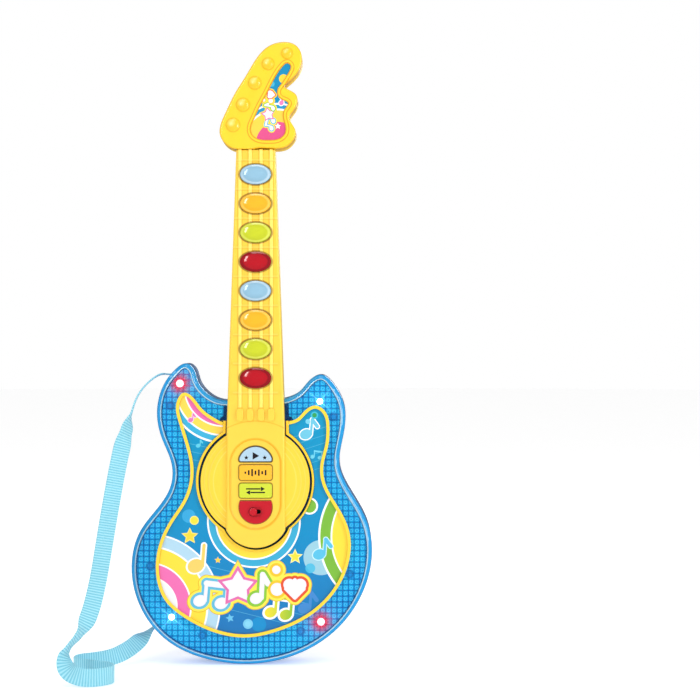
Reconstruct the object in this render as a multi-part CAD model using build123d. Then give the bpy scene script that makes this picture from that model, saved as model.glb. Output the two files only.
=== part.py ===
from build123d import *
import os
from math import cos, pi, radians, sin, sqrt, tan

# Toy electric guitar, standing upright. Millimetres.
# X runs to the right as the player's audience sees it, Y runs back through the body, Z up the neck.
# The origin is the middle of the box round the guitar, at its lowest point.

os.makedirs("parts", exist_ok=True)

# ---------------------------------------------------------------- driving dimensions

# depth of each layer, front to back (front faces have the lowest Y)
DOME_TOP_Y = -24.0        # crown of the note buttons and of the peg domes
HEAD_FACE_Y = -21.0       # headstock face
NECK_FACE_Y = -20.0       # neck and panel face
DISC_FACE_Y = -16.2       # round disc beside the panel
BODY_FACE_Y = -14.0       # front of the clear shell
NECK_SPLIT_Y = -8.0       # neck front meets neck back
SPLIT_Y = 4.0             # front shell meets rear shell
BACK_Y = 24.0             # back of the body

WALL = 2.8                # body shells
THIN = 2.2                # neck and headstock shells
FIT = 0.3                 # side clearance between separate mouldings
SLOP = 0.2                # gap between stacked loose pieces

# neck
NECK_X = 4.1              # neck axis, beside the middle of the box because the horns differ
NUT_Z = 460.7
NUT_HALF = 17.3
PANEL_TOP_Z = 214.0
PANEL_HALF = 25.9
PANEL_LOW_Z = 120.8
PANEL_LOW_HALF = 26.4
PANEL_BOTTOM_Z = 105.3
HEEL_Z = 205.0            # lower end of the neck back, inside the body
HEAD_BASE_Z = 461.1

# disc
DISC_X = NECK_X - 0.8
DISC_Z = 164.5
DISC_R = 49.3
GAP = 1.0                 # dark gap round the disc
RIM_W = 2.5               # rim outside the gap
RIM_TOP_Z = 219.0

# note buttons
NOTE_COUNT = 8
NOTE_PITCH = 25.9
NOTE_LOW_Z = 257.0
NOTE_HALF_W = 13.7
NOTE_HALF_H = 8.85
NOTE_TRAVEL = 1.5
BUTTON_GAP = 0.35
CROWN_SPREAD = 1.25       # the dome on a button is cut from an egg this much wider than the button
CROWN_DEPTH = 7.0

# control buttons: name, lowest Z, highest Z
CONTROL_W = 29.2
CONTROL_TOP_Y = -20.7
DEMO_Z = (182.6, 196.1)
RHYTHM_Z = (166.1, 179.6)
CHANGE_Z = (150.3, 163.2)
SWITCH_Z = (127.3, 147.6)

# keypads and boards, shared by neck and panel
FLANGE_Y = (NECK_FACE_Y + THIN + SLOP, NECK_FACE_Y + THIN + SLOP + 1.2)
PAD_Y = (-11.0, -10.0)
PAD_DOME_Y = -11.6
STEM_END_Y = PAD_DOME_Y - NOTE_TRAVEL - 0.5
PCB_Y = (-10.0, -8.4)

# power switch
KNOB_R = 3.6
KNOB_TRAVEL = 4.4
KNOB_Z = 138.0
KNOB_X = NECK_X - KNOB_TRAVEL / 2

# battery bay
BAY_X = 6.0
BAY_Z = 74.0
BAY_W = 66.0
BAY_H = 52.0
BAY_DEPTH = 17.5
DOOR_TOP_Z = 110.0
DOOR_SCREW_Z = 105.0
DOOR_T = 2.4
TRAY_BACK_Y = BACK_Y - DOOR_T - 0.2
TRAY_FRONT_Y = TRAY_BACK_Y - BAY_DEPTH
CELL_R = 7.1
CELL_L = 50.0
CELL_PITCH = 15.6

# speaker
SPEAKER_X = 6.1
SPEAKER_Z = 165.0
SPEAKER_R = 25.0
MAGNET_Y = (BACK_Y - WALL - 14, BACK_Y - WALL - 9)
GRILLE_PITCH = 5.2
GRILLE_SLOT_H = 2.6

# microphone jack, in the back
JACK_X = 66.0
JACK_Z = 150.0
JACK_R = 1.8
JACK_L = 14.0

# strap: a flat webbing, held here as a round cord of the same volume
WEB_WIDTH = 15.0
WEB_THICK = 1.4
STRAP_R = sqrt(WEB_WIDTH * WEB_THICK / pi)

# slots in the side of the body that the strap goes into, and the steel pins inside that hold it
SLOT_Y = 9.0
UPPER_SLOT = (-75.0, 260.0, 5.0)      # X, Z and tilt in degrees
LOWER_SLOT = (-87.0, 33.0, -25.0)
UPPER_PIN = (-66.0, 258.6)
LOWER_PIN = (-78.6, 37.0)
PIN_R = 2.0

# lamps: name, X, Z
LAMPS = (
    ("lamp_red_upper", -64.4, 252.0),
    ("lamp_white_upper", 61.2, 235.9),
    ("lamp_white_lower", -71.9, 42.3),
    ("lamp_red_lower", 62.2, 38.2),
)
LAMP_R = 2.5

# screws, each as X, Z
BODY_SCREWS = ((-44.0, 26.0), (44.0, 30.0), (88.0, 81.0), (-91.0, 88.0), (-73.0, 232.0), (73.5, 222.0))
HEEL_SCREWS = ((NECK_X - 14, 221.0), (NECK_X + 14, 221.0))
NECK_SCREWS = ((NECK_X, 237.0), (NECK_X, 454.5))
HEAD_SCREWS = ((8.0, 475.0), (30.0, 538.0))
BOARD_SCREWS = (
    (NECK_X - 18.8, 158.0), (NECK_X + 18.8, 158.0), (NECK_X - 18.8, 198.0), (NECK_X + 18.8, 198.0),
    (NECK_X, NOTE_LOW_Z + NOTE_PITCH / 2), (NECK_X, NOTE_LOW_Z + NOTE_PITCH * 6.5),
)
SPEAKER_SCREWS = (
    (SPEAKER_X, SPEAKER_Z + 28.5),
    (SPEAKER_X - 24.7, SPEAKER_Z - 14.25), (SPEAKER_X + 24.7, SPEAKER_Z - 14.25),
)
SCREW_SEAT_Y = 12.0       # where the heads of the long body screws sit, down their wells
EDGE_R = 5.5              # round on the front and back edges of the body

# screw holes: pilot for the thread, clearance, and the well that takes the head
PILOT_R = 1.3
CLEAR_R = 1.7
WELL_R = 3.1
SMALL_PILOT_R = 0.8       # for the board screws

# face plate, its trim and the sheet of light cells
PLATE_T = 1.4
TRIM_HALF_W = 1.4
TRIM_H = 1.6
SHEET_T = 1.0

# what is raised on the neck
STRING_HALF_W = 1.6
STRING_H = 0.9
STRING_SIDES = (-13.9, -4.85, 4.85, 13.9)
STRING_LOW_Z = 230.0
STRING_POST_Z = 224.4
STRING_POST_SIZE = (6.0, 11.4)
FRET_H = 0.5
FRET_HALF_T = 0.6
DISC_STEPS = ((45.0, 0.6), (41.0, 1.2))    # radius and height of each step on the disc
STADIUM_Z = (122.5, 202.8)                 # recess round the control buttons
STADIUM_W = 45.2


# ---------------------------------------------------------------- helpers


def slab(face, front, back):
    """Push a face drawn in X and Z through the depth from front to back."""
    return extrude(facing(back) * face, back - front)


def at(x, z, shape):
    return Pos(x, z) * shape


def post(x, z, radius, front, back):
    """Round bar along Y."""
    return slab(at(x, z, Circle(radius)), front, back)


def block(x0, x1, front, back, z0, z1):
    return slab(at((x0 + x1) / 2, (z0 + z1) / 2, Rectangle(x1 - x0, z1 - z0)), front, back)


def grow(face, amount):
    return offset(face, amount=amount, kind=Kind.ARC)


def smooth_outline(points):
    """Closed smooth curve through the points."""
    return make_face(Spline(*points, periodic=True))


def beside(points, distance):
    """The same outline, drawn anticlockwise, moved outwards along its normals."""
    whole = Spline(*points, periodic=True)
    moved = []
    for x, z in points:
        along = whole.tangent_at((x, z))
        moved.append((x + along.Y * distance, z - along.X * distance))
    return moved


def facing(y):
    """Plane at depth y whose first axis is X and second is Z; it faces the front."""
    return Plane((0, y, 0), x_dir=(1, 0, 0), z_dir=(0, -1, 0))


def rounded_slab(points, face_y, far_y, radius, steps=4):
    """Slab of an outline from face_y to far_y, with a round of this radius at face_y's edge."""
    way = 1 if far_y > face_y else -1
    sections = []
    for step in range(steps + 1):
        angle = pi / 2 * step / steps
        outline = smooth_outline(beside(points, -radius * (1 - sin(angle))))
        sections.append(facing(face_y + way * radius * (1 - cos(angle))) * outline)
    straight = slab(smooth_outline(points), *sorted((face_y + way * radius, far_y)))
    return loft(sections) + straight


def front_edges(shape):
    return shape.edges().group_by(Axis.Y)[0]


def back_edges(shape):
    return shape.edges().group_by(Axis.Y)[-1]


def joined(shapes):
    total = shapes[0]
    for shape in shapes[1:]:
        total = total + shape
    return total


def save(shape, name, colour):
    shape = shape if isinstance(shape, Compound) else Compound(children=[shape])
    shape.label = name
    shape.color = Color(*colour)
    export_step(shape, f"parts/{name}.step")


def save_group(shapes, name, colour):
    save(Compound(children=list(shapes)), name, colour)


YELLOW = (0.99, 0.80, 0.18)
BLUE = (0.02, 0.45, 0.85)
CLEAR_BLUE = (0.10, 0.60, 0.90)
GREEN = (0.05, 0.35, 0.15)
STEEL = (0.75, 0.75, 0.78)
WHITE = (0.93, 0.93, 0.93)
BLACK = (0.08, 0.08, 0.08)
PALE = (0.60, 0.78, 0.88)
ORANGE = (0.98, 0.68, 0.15)
LIME = (0.80, 0.84, 0.18)
RED = (0.75, 0.05, 0.10)


# ---------------------------------------------------------------- outlines, drawn in X and Z

BODY_POINTS = (
    (-24, 237), (-38, 242), (-49, 256), (-52, 265), (-58, 270), (-69, 264.5), (-81, 247), (-85.2, 227),
    (-81, 203), (-72, 179), (-73, 160), (-84, 141), (-100.5, 119), (-108, 85), (-100, 51), (-76, 21),
    (-34, 3), (-8, 0), (36, 7), (74, 29), (100, 65), (108, 99), (104, 127), (90, 153), (79, 178),
    (83, 209), (83, 233), (74, 251), (62.5, 260), (53, 256), (43, 245), (29, 238.5), (3, 236.5),
)
body_face = smooth_outline(BODY_POINTS)

PLATE_POINTS = (
    (-24.5, 215.5), (-37, 222), (-46, 229.5), (-53, 238.5), (-60, 242.5), (-65.5, 234.5), (-64, 219.5),
    (-58.5, 201.5), (-53, 174), (-59, 148), (-70.5, 130), (-80.5, 109.5), (-84, 88), (-82, 72.5),
    (-77, 60.5), (-57.5, 43), (-32.5, 31), (-4.5, 26.5), (23, 32), (51.5, 45.5), (74.5, 68), (86, 94),
    (86.5, 118), (77, 140), (64.5, 163.5), (63, 178.5), (67.5, 197.5), (68.5, 211.5), (65.5, 225.5),
    (57.5, 231), (48.5, 226.5), (41.5, 219.5), (31.5, 216.5), (4, 212),
)
plate_face = smooth_outline(PLATE_POINTS)


def inner_body(depth):
    return smooth_outline(beside(BODY_POINTS, -depth))


def neck_half(z):
    """Half of the neck's width at a height, straight from the nut to the panel."""
    return NUT_HALF + (NUT_Z - z) * (PANEL_HALF - NUT_HALF) / (NUT_Z - PANEL_TOP_Z)


def neck_strip(low, high, side=0.0):
    """Tapered strip of the neck between two heights, wider by side on each side."""
    wide, narrow = neck_half(low) + side, neck_half(high) + side
    corners = ((NECK_X - wide, low), (NECK_X + wide, low), (NECK_X + narrow, high), (NECK_X - narrow, high))
    return make_face(Polyline(*corners, close=True))


def panel_foot():
    """Lower end of the panel: slightly flared sides and a round bottom."""
    left, right = NECK_X - PANEL_LOW_HALF, NECK_X + PANEL_LOW_HALF
    return make_face([
        Line((NECK_X - PANEL_HALF, PANEL_TOP_Z), (left, PANEL_LOW_Z)),
        ThreePointArc((left, PANEL_LOW_Z), (NECK_X, PANEL_BOTTOM_Z), (right, PANEL_LOW_Z)),
        Line((right, PANEL_LOW_Z), (NECK_X + PANEL_HALF, PANEL_TOP_Z)),
        Line((NECK_X + PANEL_HALF, PANEL_TOP_Z), (NECK_X - PANEL_HALF, PANEL_TOP_Z)),
    ])


neck_face = neck_strip(PANEL_TOP_Z, NUT_Z) + panel_foot()
disc_face = at(DISC_X, DISC_Z, Circle(DISC_R))
centre_face = disc_face + panel_foot() + neck_strip(PANEL_TOP_Z, RIM_TOP_Z)
slot_face = neck_strip(RIM_TOP_Z - 1, 262, FIT)
below_rim_top = Pos(NECK_X, RIM_TOP_Z - 100) * Rectangle(200, 200)
window_face = (grow(centre_face, GAP + RIM_W + 0.1) & below_rim_top) + slot_face

# swept-back headstock: two lobes on the right, a round crown, a straight left side and a heel
HEAD_POINTS = (
    (3, 461.2), (20, 461.4), (32, 463.5), (37, 468), (40, 474.5), (38, 481.5), (34.5, 489), (38, 495.5),
    (41.5, 503), (41, 508), (35.5, 513), (30, 517), (34.5, 522), (40, 527.5), (44, 533.5), (45.5, 542),
    (43.5, 549.5), (37.5, 555), (29, 556.5), (17, 553.5), (6, 543.5), (-4.5, 526.5), (-14.5, 510.5),
    (-22.5, 494), (-27.5, 481.5), (-28, 475.5), (-25, 468), (-19.5, 463),
)
head_face = smooth_outline(HEAD_POINTS)

STICKER_POINTS = (
    (29, 535), (25, 530), (20, 521.5), (14.5, 510.5), (8, 498.5), (2.5, 486.5), (0, 478.5),
    (1.5, 473.5), (6.5, 470), (16, 469), (25.5, 470.5), (30, 475), (30.5, 481), (29, 486.5),
    (28.5, 492.5), (31, 498), (33, 501.5), (28, 504.5), (24, 508), (23.5, 513.5), (27, 519), (31, 525),
    (34, 530), (35, 535), (32.5, 537),
)
sticker_face = smooth_outline(STICKER_POINTS)

# pegs moulded in the headstock: X, Z, radius
PEGS = ((32.2, 545.9, 4.9), (15.3, 536.5, 5.4), (3.5, 519.5, 5.8), (-7.0, 500.1, 6.0), (-15.9, 482.2, 6.2))
PEG_HEIGHT = DOME_TOP_Y - HEAD_FACE_Y


def note_z(index):
    """Height of a note button, counted from the lowest."""
    return NOTE_LOW_Z + index * NOTE_PITCH


def demo_face(side=0.0):
    """Half dome: flat foot with round corners and an arched top."""
    low, high = DEMO_Z[0] - side, DEMO_Z[1] + side
    half = CONTROL_W / 2 + side
    arch = make_face([
        Line((NECK_X - half, low), (NECK_X + half, low)),
        Line((NECK_X + half, low), (NECK_X + half, low + 3)),
        ThreePointArc((NECK_X + half, low + 3), (NECK_X, high), (NECK_X - half, low + 3)),
        Line((NECK_X - half, low + 3), (NECK_X - half, low)),
    ])
    return fillet(arch.vertices().group_by(Axis.Y)[0], 2)


def bar_face(span, side=0.0):
    low, high = span[0] - side, span[1] + side
    return at(NECK_X, (low + high) / 2, RectangleRounded(CONTROL_W + 2 * side, high - low, 2.4 + side))


def switch_face(side=0.0):
    """The letterless D of the power switch: flat top, round bottom."""
    low, high = SWITCH_Z[0] - side, SWITCH_Z[1] + side
    half = CONTROL_W / 2 + side
    shape = make_face([
        Line((NECK_X - half, high), (NECK_X + half, high)),
        Line((NECK_X + half, high), (NECK_X + half, high - 6)),
        ThreePointArc((NECK_X + half, high - 6), (NECK_X, low), (NECK_X - half, high - 6)),
        Line((NECK_X - half, high - 6), (NECK_X - half, high)),
    ])
    return fillet(shape.vertices().group_by(Axis.Y)[-1], 2)


# ---------------------------------------------------------------- body shells


def strap_slots():
    """Two slots for the webbing, across the joint between the shells."""
    cuts = []
    for x, z, tilt in (UPPER_SLOT, LOWER_SLOT):
        cuts.append(Pos(x, SLOT_Y, z) * Rot(0, tilt, 0) * Box(17, WEB_WIDTH + 2, 6.4))
    return joined(cuts)


def front_shell():
    shell = rounded_slab(BODY_POINTS, BODY_FACE_Y, SPLIT_Y, EDGE_R)
    shell -= slab(inner_body(WALL), BODY_FACE_Y + WALL + 2, SPLIT_Y)
    shell -= slab(inner_body(WALL + 2), BODY_FACE_Y + WALL, SPLIT_Y)
    shell -= slab(smooth_outline(beside(PLATE_POINTS, 0.1)), BODY_FACE_Y, BODY_FACE_Y + PLATE_T)
    shell -= slab(window_face, BODY_FACE_Y - 1, SPLIT_Y)
    shell += joined([post(x, z, 3.4, BODY_FACE_Y + WALL, SPLIT_Y) for x, z in BODY_SCREWS])
    shell -= joined([post(x, z, PILOT_R, BODY_FACE_Y + WALL + 2, SPLIT_Y) for x, z in BODY_SCREWS])
    return shell - strap_slots()


def rear_shell():
    shell = rounded_slab(BODY_POINTS, BACK_Y, SPLIT_Y, EDGE_R)
    shell -= slab(inner_body(WALL), SPLIT_Y, BACK_Y - WALL - 2)
    shell -= slab(inner_body(WALL + 2), SPLIT_Y, BACK_Y - WALL)
    shell += joined([post(x, z, 5.0, SPLIT_Y, BACK_Y - WALL / 2) for x, z in BODY_SCREWS])
    shell += joined([post(x, z, 4.0, SPLIT_Y, BACK_Y - WALL / 2) for x, z in HEEL_SCREWS])
    shell += joined([post(x, z, 2.6, BACK_Y - WALL - 2, BACK_Y - WALL / 2) for x, z in SPEAKER_SCREWS])
    left, right = BAY_X - BAY_W / 2, BAY_X + BAY_W / 2
    low, high = BAY_Z - BAY_H / 2, BAY_Z + BAY_H / 2
    shell += block(left - 2.5, right + 2.5, BACK_Y - WALL - 2.5, BACK_Y - WALL / 2, low - 2.5, DOOR_TOP_Z + 3)
    shell += post(BAY_X, DOOR_SCREW_Z, 3.2, 9, BACK_Y - WALL)
    for x, z in BODY_SCREWS + HEEL_SCREWS:
        shell -= post(x, z, CLEAR_R, SPLIT_Y, BACK_Y)
        shell -= post(x, z, WELL_R, SCREW_SEAT_Y, BACK_Y)
    shell -= joined([post(x, z, 0.9, BACK_Y - WALL - 2, BACK_Y - 1) for x, z in SPEAKER_SCREWS])
    shell -= block(left, right, SPLIT_Y, BACK_Y, low, high)
    shell -= block(left, right, BACK_Y - DOOR_T - 0.2, BACK_Y, BAY_Z, DOOR_TOP_Z + 0.4)
    shell -= post(BAY_X, DOOR_SCREW_Z, PILOT_R + 0.05, 10, BACK_Y)
    shell -= post(JACK_X, JACK_Z, 4.0, BACK_Y - WALL, BACK_Y)
    for row in range(-3, 4):
        rise = row * GRILLE_PITCH
        reach = sqrt((SPEAKER_R - 6) ** 2 - rise ** 2)
        slot = SlotOverall(2 * reach, GRILLE_SLOT_H)
        shell -= slab(at(SPEAKER_X, SPEAKER_Z + rise, slot), BACK_Y - WALL, BACK_Y)
    return shell - strap_slots()


def light_diffuser():
    front, back = BODY_FACE_Y + WALL, BODY_FACE_Y + WALL + SHEET_T
    sheet = slab(inner_body(WALL + 2.4) - grow(window_face, 3.5), front, back)
    sheet -= joined([post(x, z, 3.7, front, back) for x, z in BODY_SCREWS])
    return sheet - joined([post(x, z, LAMP_R + 0.1, front, back) for _, x, z in LAMPS])


def face_plate():
    return slab(plate_face - grow(window_face, 0.1), BODY_FACE_Y, BODY_FACE_Y + PLATE_T)


def face_trim():
    outer = slab(smooth_outline(beside(PLATE_POINTS, TRIM_HALF_W)), BODY_FACE_Y - TRIM_H, BODY_FACE_Y)
    inner = slab(smooth_outline(beside(PLATE_POINTS, -TRIM_HALF_W)), BODY_FACE_Y - TRIM_H, BODY_FACE_Y)
    return outer - inner - slab(grow(window_face, 0.1), BODY_FACE_Y - TRIM_H, BODY_FACE_Y)


def disc_rim():
    top = BODY_FACE_Y - 1.9
    below = Pos(NECK_X, RIM_TOP_Z - 100.2) * Rectangle(200, 200)
    rim = slab((grow(centre_face, GAP + RIM_W) - grow(centre_face, GAP)) & below, top, BODY_FACE_Y + WALL)
    flange = slab((grow(centre_face, GAP + RIM_W + 2.6) - grow(centre_face, GAP)) & below,
                  BODY_FACE_Y + WALL, BODY_FACE_Y + WALL + 1.5)
    return rim + flange


# ---------------------------------------------------------------- neck and headstock


def string_rib(offset_x):
    """Raised string, half sunk in the neck's face."""
    length = NUT_Z - STRING_LOW_Z
    section = Plane((NECK_X + offset_x, NECK_FACE_Y, STRING_LOW_Z)) * Ellipse(STRING_HALF_W, STRING_H)
    return extrude(section, length)


def fret(index):
    z = note_z(index) + NOTE_PITCH / 2
    half = neck_half(z) - 2.5
    return block(NECK_X - half, NECK_X + half, NECK_FACE_Y - FRET_H, NECK_FACE_Y + 0.5,
                 z - FRET_HALF_T, z + FRET_HALF_T)


def string_post(offset_x):
    outline = at(NECK_X + offset_x, STRING_POST_Z, RectangleRounded(*STRING_POST_SIZE, 2.6))
    return fillet(front_edges(slab(outline, NECK_FACE_Y - 2, NECK_FACE_Y + 0.5)), 0.8)


def neck_front():
    bar = slab(neck_face, NECK_FACE_Y, NECK_SPLIT_Y)
    bar = fillet(front_edges(bar), 2.2)
    wings = slab(disc_face, DISC_FACE_Y, DISC_FACE_Y + 4)
    for radius, step in DISC_STEPS:
        wings += post(DISC_X, DISC_Z, radius, DISC_FACE_Y - step, DISC_FACE_Y)
    bar += wings
    for offset_x in STRING_SIDES:
        bar += string_rib(offset_x)
        bar += string_post(offset_x)
    for index in range(-1, NOTE_COUNT):
        bar += fret(index)
    hollow = neck_strip(PANEL_TOP_Z, NUT_Z - THIN, -THIN) + grow(panel_foot(), -THIN)
    hollow += neck_strip(PANEL_TOP_Z - 6, PANEL_TOP_Z + 6, -THIN)
    bar -= slab(hollow, NECK_FACE_Y + THIN, NECK_SPLIT_Y)
    inwards = Plane((0, NECK_FACE_Y, 0), x_dir=(1, 0, 0), z_dir=(0, 1, 0))
    bar -= extrude(inwards * mirrored_stadium(), 0.8, taper=50)
    bosses = [post(x, z, 2.6, NECK_FACE_Y + THIN, NECK_SPLIT_Y) for x, z in NECK_SCREWS]
    bosses += [post(x, z, 1.9, NECK_FACE_Y + THIN, PCB_Y[0]) for x, z in BOARD_SCREWS]
    bar += joined(bosses)
    bar -= joined([post(x, z, PILOT_R, NECK_FACE_Y + THIN + 1, NECK_SPLIT_Y) for x, z in NECK_SCREWS])
    bar -= joined([post(x, z, SMALL_PILOT_R, NECK_FACE_Y + THIN + 1, PCB_Y[0]) for x, z in BOARD_SCREWS])
    for index in range(NOTE_COUNT):
        hole = at(NECK_X, note_z(index), Ellipse(NOTE_HALF_W + BUTTON_GAP, NOTE_HALF_H + BUTTON_GAP))
        bar -= slab(hole, NECK_FACE_Y - 3, NECK_FACE_Y + THIN)
    for shape in (demo_face(BUTTON_GAP), bar_face(RHYTHM_Z, BUTTON_GAP), bar_face(CHANGE_Z, BUTTON_GAP),
                  switch_face(0.1)):
        bar -= slab(shape, NECK_FACE_Y - 3, NECK_FACE_Y + THIN)
    return bar


def mirrored_stadium():
    """Stadium round the control buttons, drawn for a plane whose height axis points down."""
    low, high = STADIUM_Z
    return at(NECK_X, -(low + high) / 2, Rot(0, 0, 90) * SlotOverall(high - low, STADIUM_W))


def neck_back():
    channel = slab(neck_strip(HEEL_Z, NUT_Z + 1), NECK_SPLIT_Y, SPLIT_Y)
    channel = fillet(back_edges(channel).sort_by(Axis.X)[0], 5)
    channel = fillet(back_edges(channel).sort_by(Axis.X)[-1], 5)
    head = slab(head_face, NECK_SPLIT_Y, SPLIT_Y - 3)
    shape = channel + head
    shape -= slab(neck_strip(HEEL_Z, NUT_Z - THIN, -THIN), NECK_SPLIT_Y, SPLIT_Y - THIN - 2)
    shape -= slab(smooth_outline(beside(HEAD_POINTS, -THIN)), NECK_SPLIT_Y, SPLIT_Y - 3 - THIN)
    for x, z in NECK_SCREWS:
        shape += post(x, z, 3.6, NECK_SPLIT_Y, SPLIT_Y)
        shape -= post(x, z, CLEAR_R, NECK_SPLIT_Y, SPLIT_Y)
        shape -= post(x, z, WELL_R, SPLIT_Y - 3.5, SPLIT_Y)
    for x, z in HEAD_SCREWS:
        shape += post(x, z, 3.6, NECK_SPLIT_Y, SPLIT_Y - 3)
        shape -= post(x, z, CLEAR_R, NECK_SPLIT_Y, SPLIT_Y - 3)
        shape -= post(x, z, WELL_R, SPLIT_Y - 5.5, SPLIT_Y - 3)
    return shape - joined([post(x, z, PILOT_R, 0.2, SPLIT_Y) for x, z in HEEL_SCREWS])


def headstock_front():
    cover = rounded_slab(HEAD_POINTS, HEAD_FACE_Y, NECK_SPLIT_Y, 2.4)
    for x, z, radius in PEGS:
        ball = (radius ** 2 + PEG_HEIGHT ** 2) / (2 * abs(PEG_HEIGHT))
        dome = Pos(x, DOME_TOP_Y + ball, z) * Sphere(ball)
        cover += dome & block(x - 9, x + 9, DOME_TOP_Y, HEAD_FACE_Y + 0.5, z - 9, z + 9)
    border = smooth_outline(beside(STICKER_POINTS, 2.8)) - smooth_outline(beside(STICKER_POINTS, 1.0))
    cover += slab(border, HEAD_FACE_Y - 0.6, HEAD_FACE_Y)
    cover -= slab(smooth_outline(beside(HEAD_POINTS, -THIN)), HEAD_FACE_Y + THIN + 0.4, NECK_SPLIT_Y)
    cover -= slab(smooth_outline(beside(STICKER_POINTS, 0.15)), HEAD_FACE_Y - 1, HEAD_FACE_Y + 0.8)
    cover += joined([post(x, z, 2.6, HEAD_FACE_Y + THIN, NECK_SPLIT_Y) for x, z in HEAD_SCREWS])
    cover -= block(-40, 60, HEAD_FACE_Y - 3, NECK_SPLIT_Y, HEAD_BASE_Z - 10, HEAD_BASE_Z)
    pilots = [post(x, z, PILOT_R, HEAD_FACE_Y + THIN + 2, NECK_SPLIT_Y) for x, z in HEAD_SCREWS]
    return cover - joined(pilots)


def headstock_sticker():
    return slab(sticker_face, HEAD_FACE_Y + 0.5, HEAD_FACE_Y + 0.8)


# ---------------------------------------------------------------- buttons, keypads, boards


def note_button(index):
    z = note_z(index)
    cap = slab(at(NECK_X, z, Ellipse(NOTE_HALF_W, NOTE_HALF_H)), DOME_TOP_Y, FLANGE_Y[0])
    radii = (NOTE_HALF_W * CROWN_SPREAD, CROWN_DEPTH, NOTE_HALF_H * CROWN_SPREAD)
    bulge = Pos(NECK_X, DOME_TOP_Y + CROWN_DEPTH, z) * scale(Sphere(1), by=radii)
    keep = bulge + block(NECK_X - 15, NECK_X + 15, -19, FLANGE_Y[0], z - 10, z + 10)
    cap = cap & keep
    flange = slab(at(NECK_X, z, Ellipse(NOTE_HALF_W + 1.2, NOTE_HALF_H + 1.2)), *FLANGE_Y)
    stem = post(NECK_X, z, 3.0, FLANGE_Y[1], STEM_END_Y)
    return cap + flange + stem


def control_button(face, flange_face):
    cap = fillet(front_edges(slab(face, CONTROL_TOP_Y, FLANGE_Y[0])), 0.7)
    flange = slab(flange_face, *FLANGE_Y)
    middle = (face.bounding_box().min.Y + face.bounding_box().max.Y) / 2
    return cap + flange + post(NECK_X, middle, 2.5, FLANGE_Y[1], STEM_END_Y)


def keypad(span, half, key_heights, radius):
    low, high = span
    sheet = block(NECK_X - half, NECK_X + half, PAD_Y[0], PAD_Y[1], low, high)
    for z in key_heights:
        sheet += Pos(NECK_X, (PAD_DOME_Y + PAD_Y[0]) / 2, z) * Rot(90, 0, 0) * Cone(radius, radius - 1, 0.6)
    return sheet - joined([post(x, z, 2.3, PAD_Y[0], PAD_Y[1]) for x, z in BOARD_SCREWS])


NECK_BOARD_Z = (243.0, 449.0)
PANEL_BOARD_Z = (131.0, 206.0)
PANEL_PAD_Z = (147.5, 202.0)
BOARD_HALF = 14.0
PANEL_BOARD_HALF = 21.5
CONTROL_HEIGHTS = (sum(DEMO_Z) / 2, sum(RHYTHM_Z) / 2, sum(CHANGE_Z) / 2)


def switch_plate():
    plate = fillet(front_edges(slab(switch_face(), CONTROL_TOP_Y, NECK_FACE_Y + THIN)), 0.7)
    well = at(NECK_X, KNOB_Z, SlotOverall(2 * KNOB_R + KNOB_TRAVEL + 1, 2 * KNOB_R + 1.6))
    plate += slab(at(NECK_X, KNOB_Z, SlotOverall(2 * KNOB_R + KNOB_TRAVEL + 2.6, 2 * KNOB_R + 3.2)),
                  CONTROL_TOP_Y - 0.5, CONTROL_TOP_Y)
    plate -= slab(well, CONTROL_TOP_Y - 1, CONTROL_TOP_Y + 1.2)
    plate -= slab(at(NECK_X, KNOB_Z, SlotOverall(KNOB_TRAVEL + 5, 4)), CONTROL_TOP_Y - 1, NECK_FACE_Y + THIN)
    return plate


def switch_knob():
    cap = fillet(front_edges(post(KNOB_X, KNOB_Z, KNOB_R, CONTROL_TOP_Y - 1.2, CONTROL_TOP_Y + 1.0)), 0.9)
    return cap + post(KNOB_X, KNOB_Z, 1.6, CONTROL_TOP_Y + 1.0, -13.5)


def switch_body():
    case = block(NECK_X - 7, NECK_X + 7, -15.5, PCB_Y[0], KNOB_Z - 4, KNOB_Z + 4)
    case -= block(NECK_X - 5, NECK_X + 5, -15.5, -12.5, KNOB_Z - 2.2, KNOB_Z + 2.2)
    return case


def board(span, half):
    sheet = block(NECK_X - half, NECK_X + half, PCB_Y[0], PCB_Y[1], span[0], span[1])
    return sheet - joined([post(x, z, 1.1, PCB_Y[0], PCB_Y[1]) for x, z in BOARD_SCREWS])


def main_chip():
    """Drop of black resin over the sound chip."""
    return fillet(back_edges(post(NECK_X, 176, 6.5, PCB_Y[1], PCB_Y[1] + 1.8)), 1.4)


def capacitors():
    return [post(NECK_X + side * 14, 144, 3.0, PCB_Y[1], PCB_Y[1] + 8) for side in (-1, 1)]


def ribbon_cable():
    return block(NECK_X + 4.5, NECK_X + 12.5, PCB_Y[1], PCB_Y[1] + 0.8, 203, 246)


# ---------------------------------------------------------------- sound, light and power


def speaker_frame():
    rim = post(SPEAKER_X, SPEAKER_Z, SPEAKER_R, BACK_Y - WALL - 2, BACK_Y - WALL)
    rim -= post(SPEAKER_X, SPEAKER_Z, SPEAKER_R - 3, BACK_Y - WALL - 2, BACK_Y - WALL)
    basket = Pos(SPEAKER_X, BACK_Y - WALL - 2 - 3.5, SPEAKER_Z) * Rot(90, 0, 0) * (
        Cone(SPEAKER_R - 1, 13, 7) - Cone(SPEAKER_R - 3, 11.5, 7))
    return rim + basket


def speaker_cone():
    shape = Pos(SPEAKER_X, BACK_Y - WALL - 2 - 1.5, SPEAKER_Z) * Rot(90, 0, 0) * (
        Cone(SPEAKER_R - 4.2, 12, 6) - Pos(0, 0, -0.8) * Cone(SPEAKER_R - 4.2, 11.2, 6))
    front, back = BACK_Y - WALL - 1.1, BACK_Y - WALL - 0.5
    edge = post(SPEAKER_X, SPEAKER_Z, SPEAKER_R - 3, front, back)
    return shape + (edge - post(SPEAKER_X, SPEAKER_Z, SPEAKER_R - 4.8, front, back))


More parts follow.
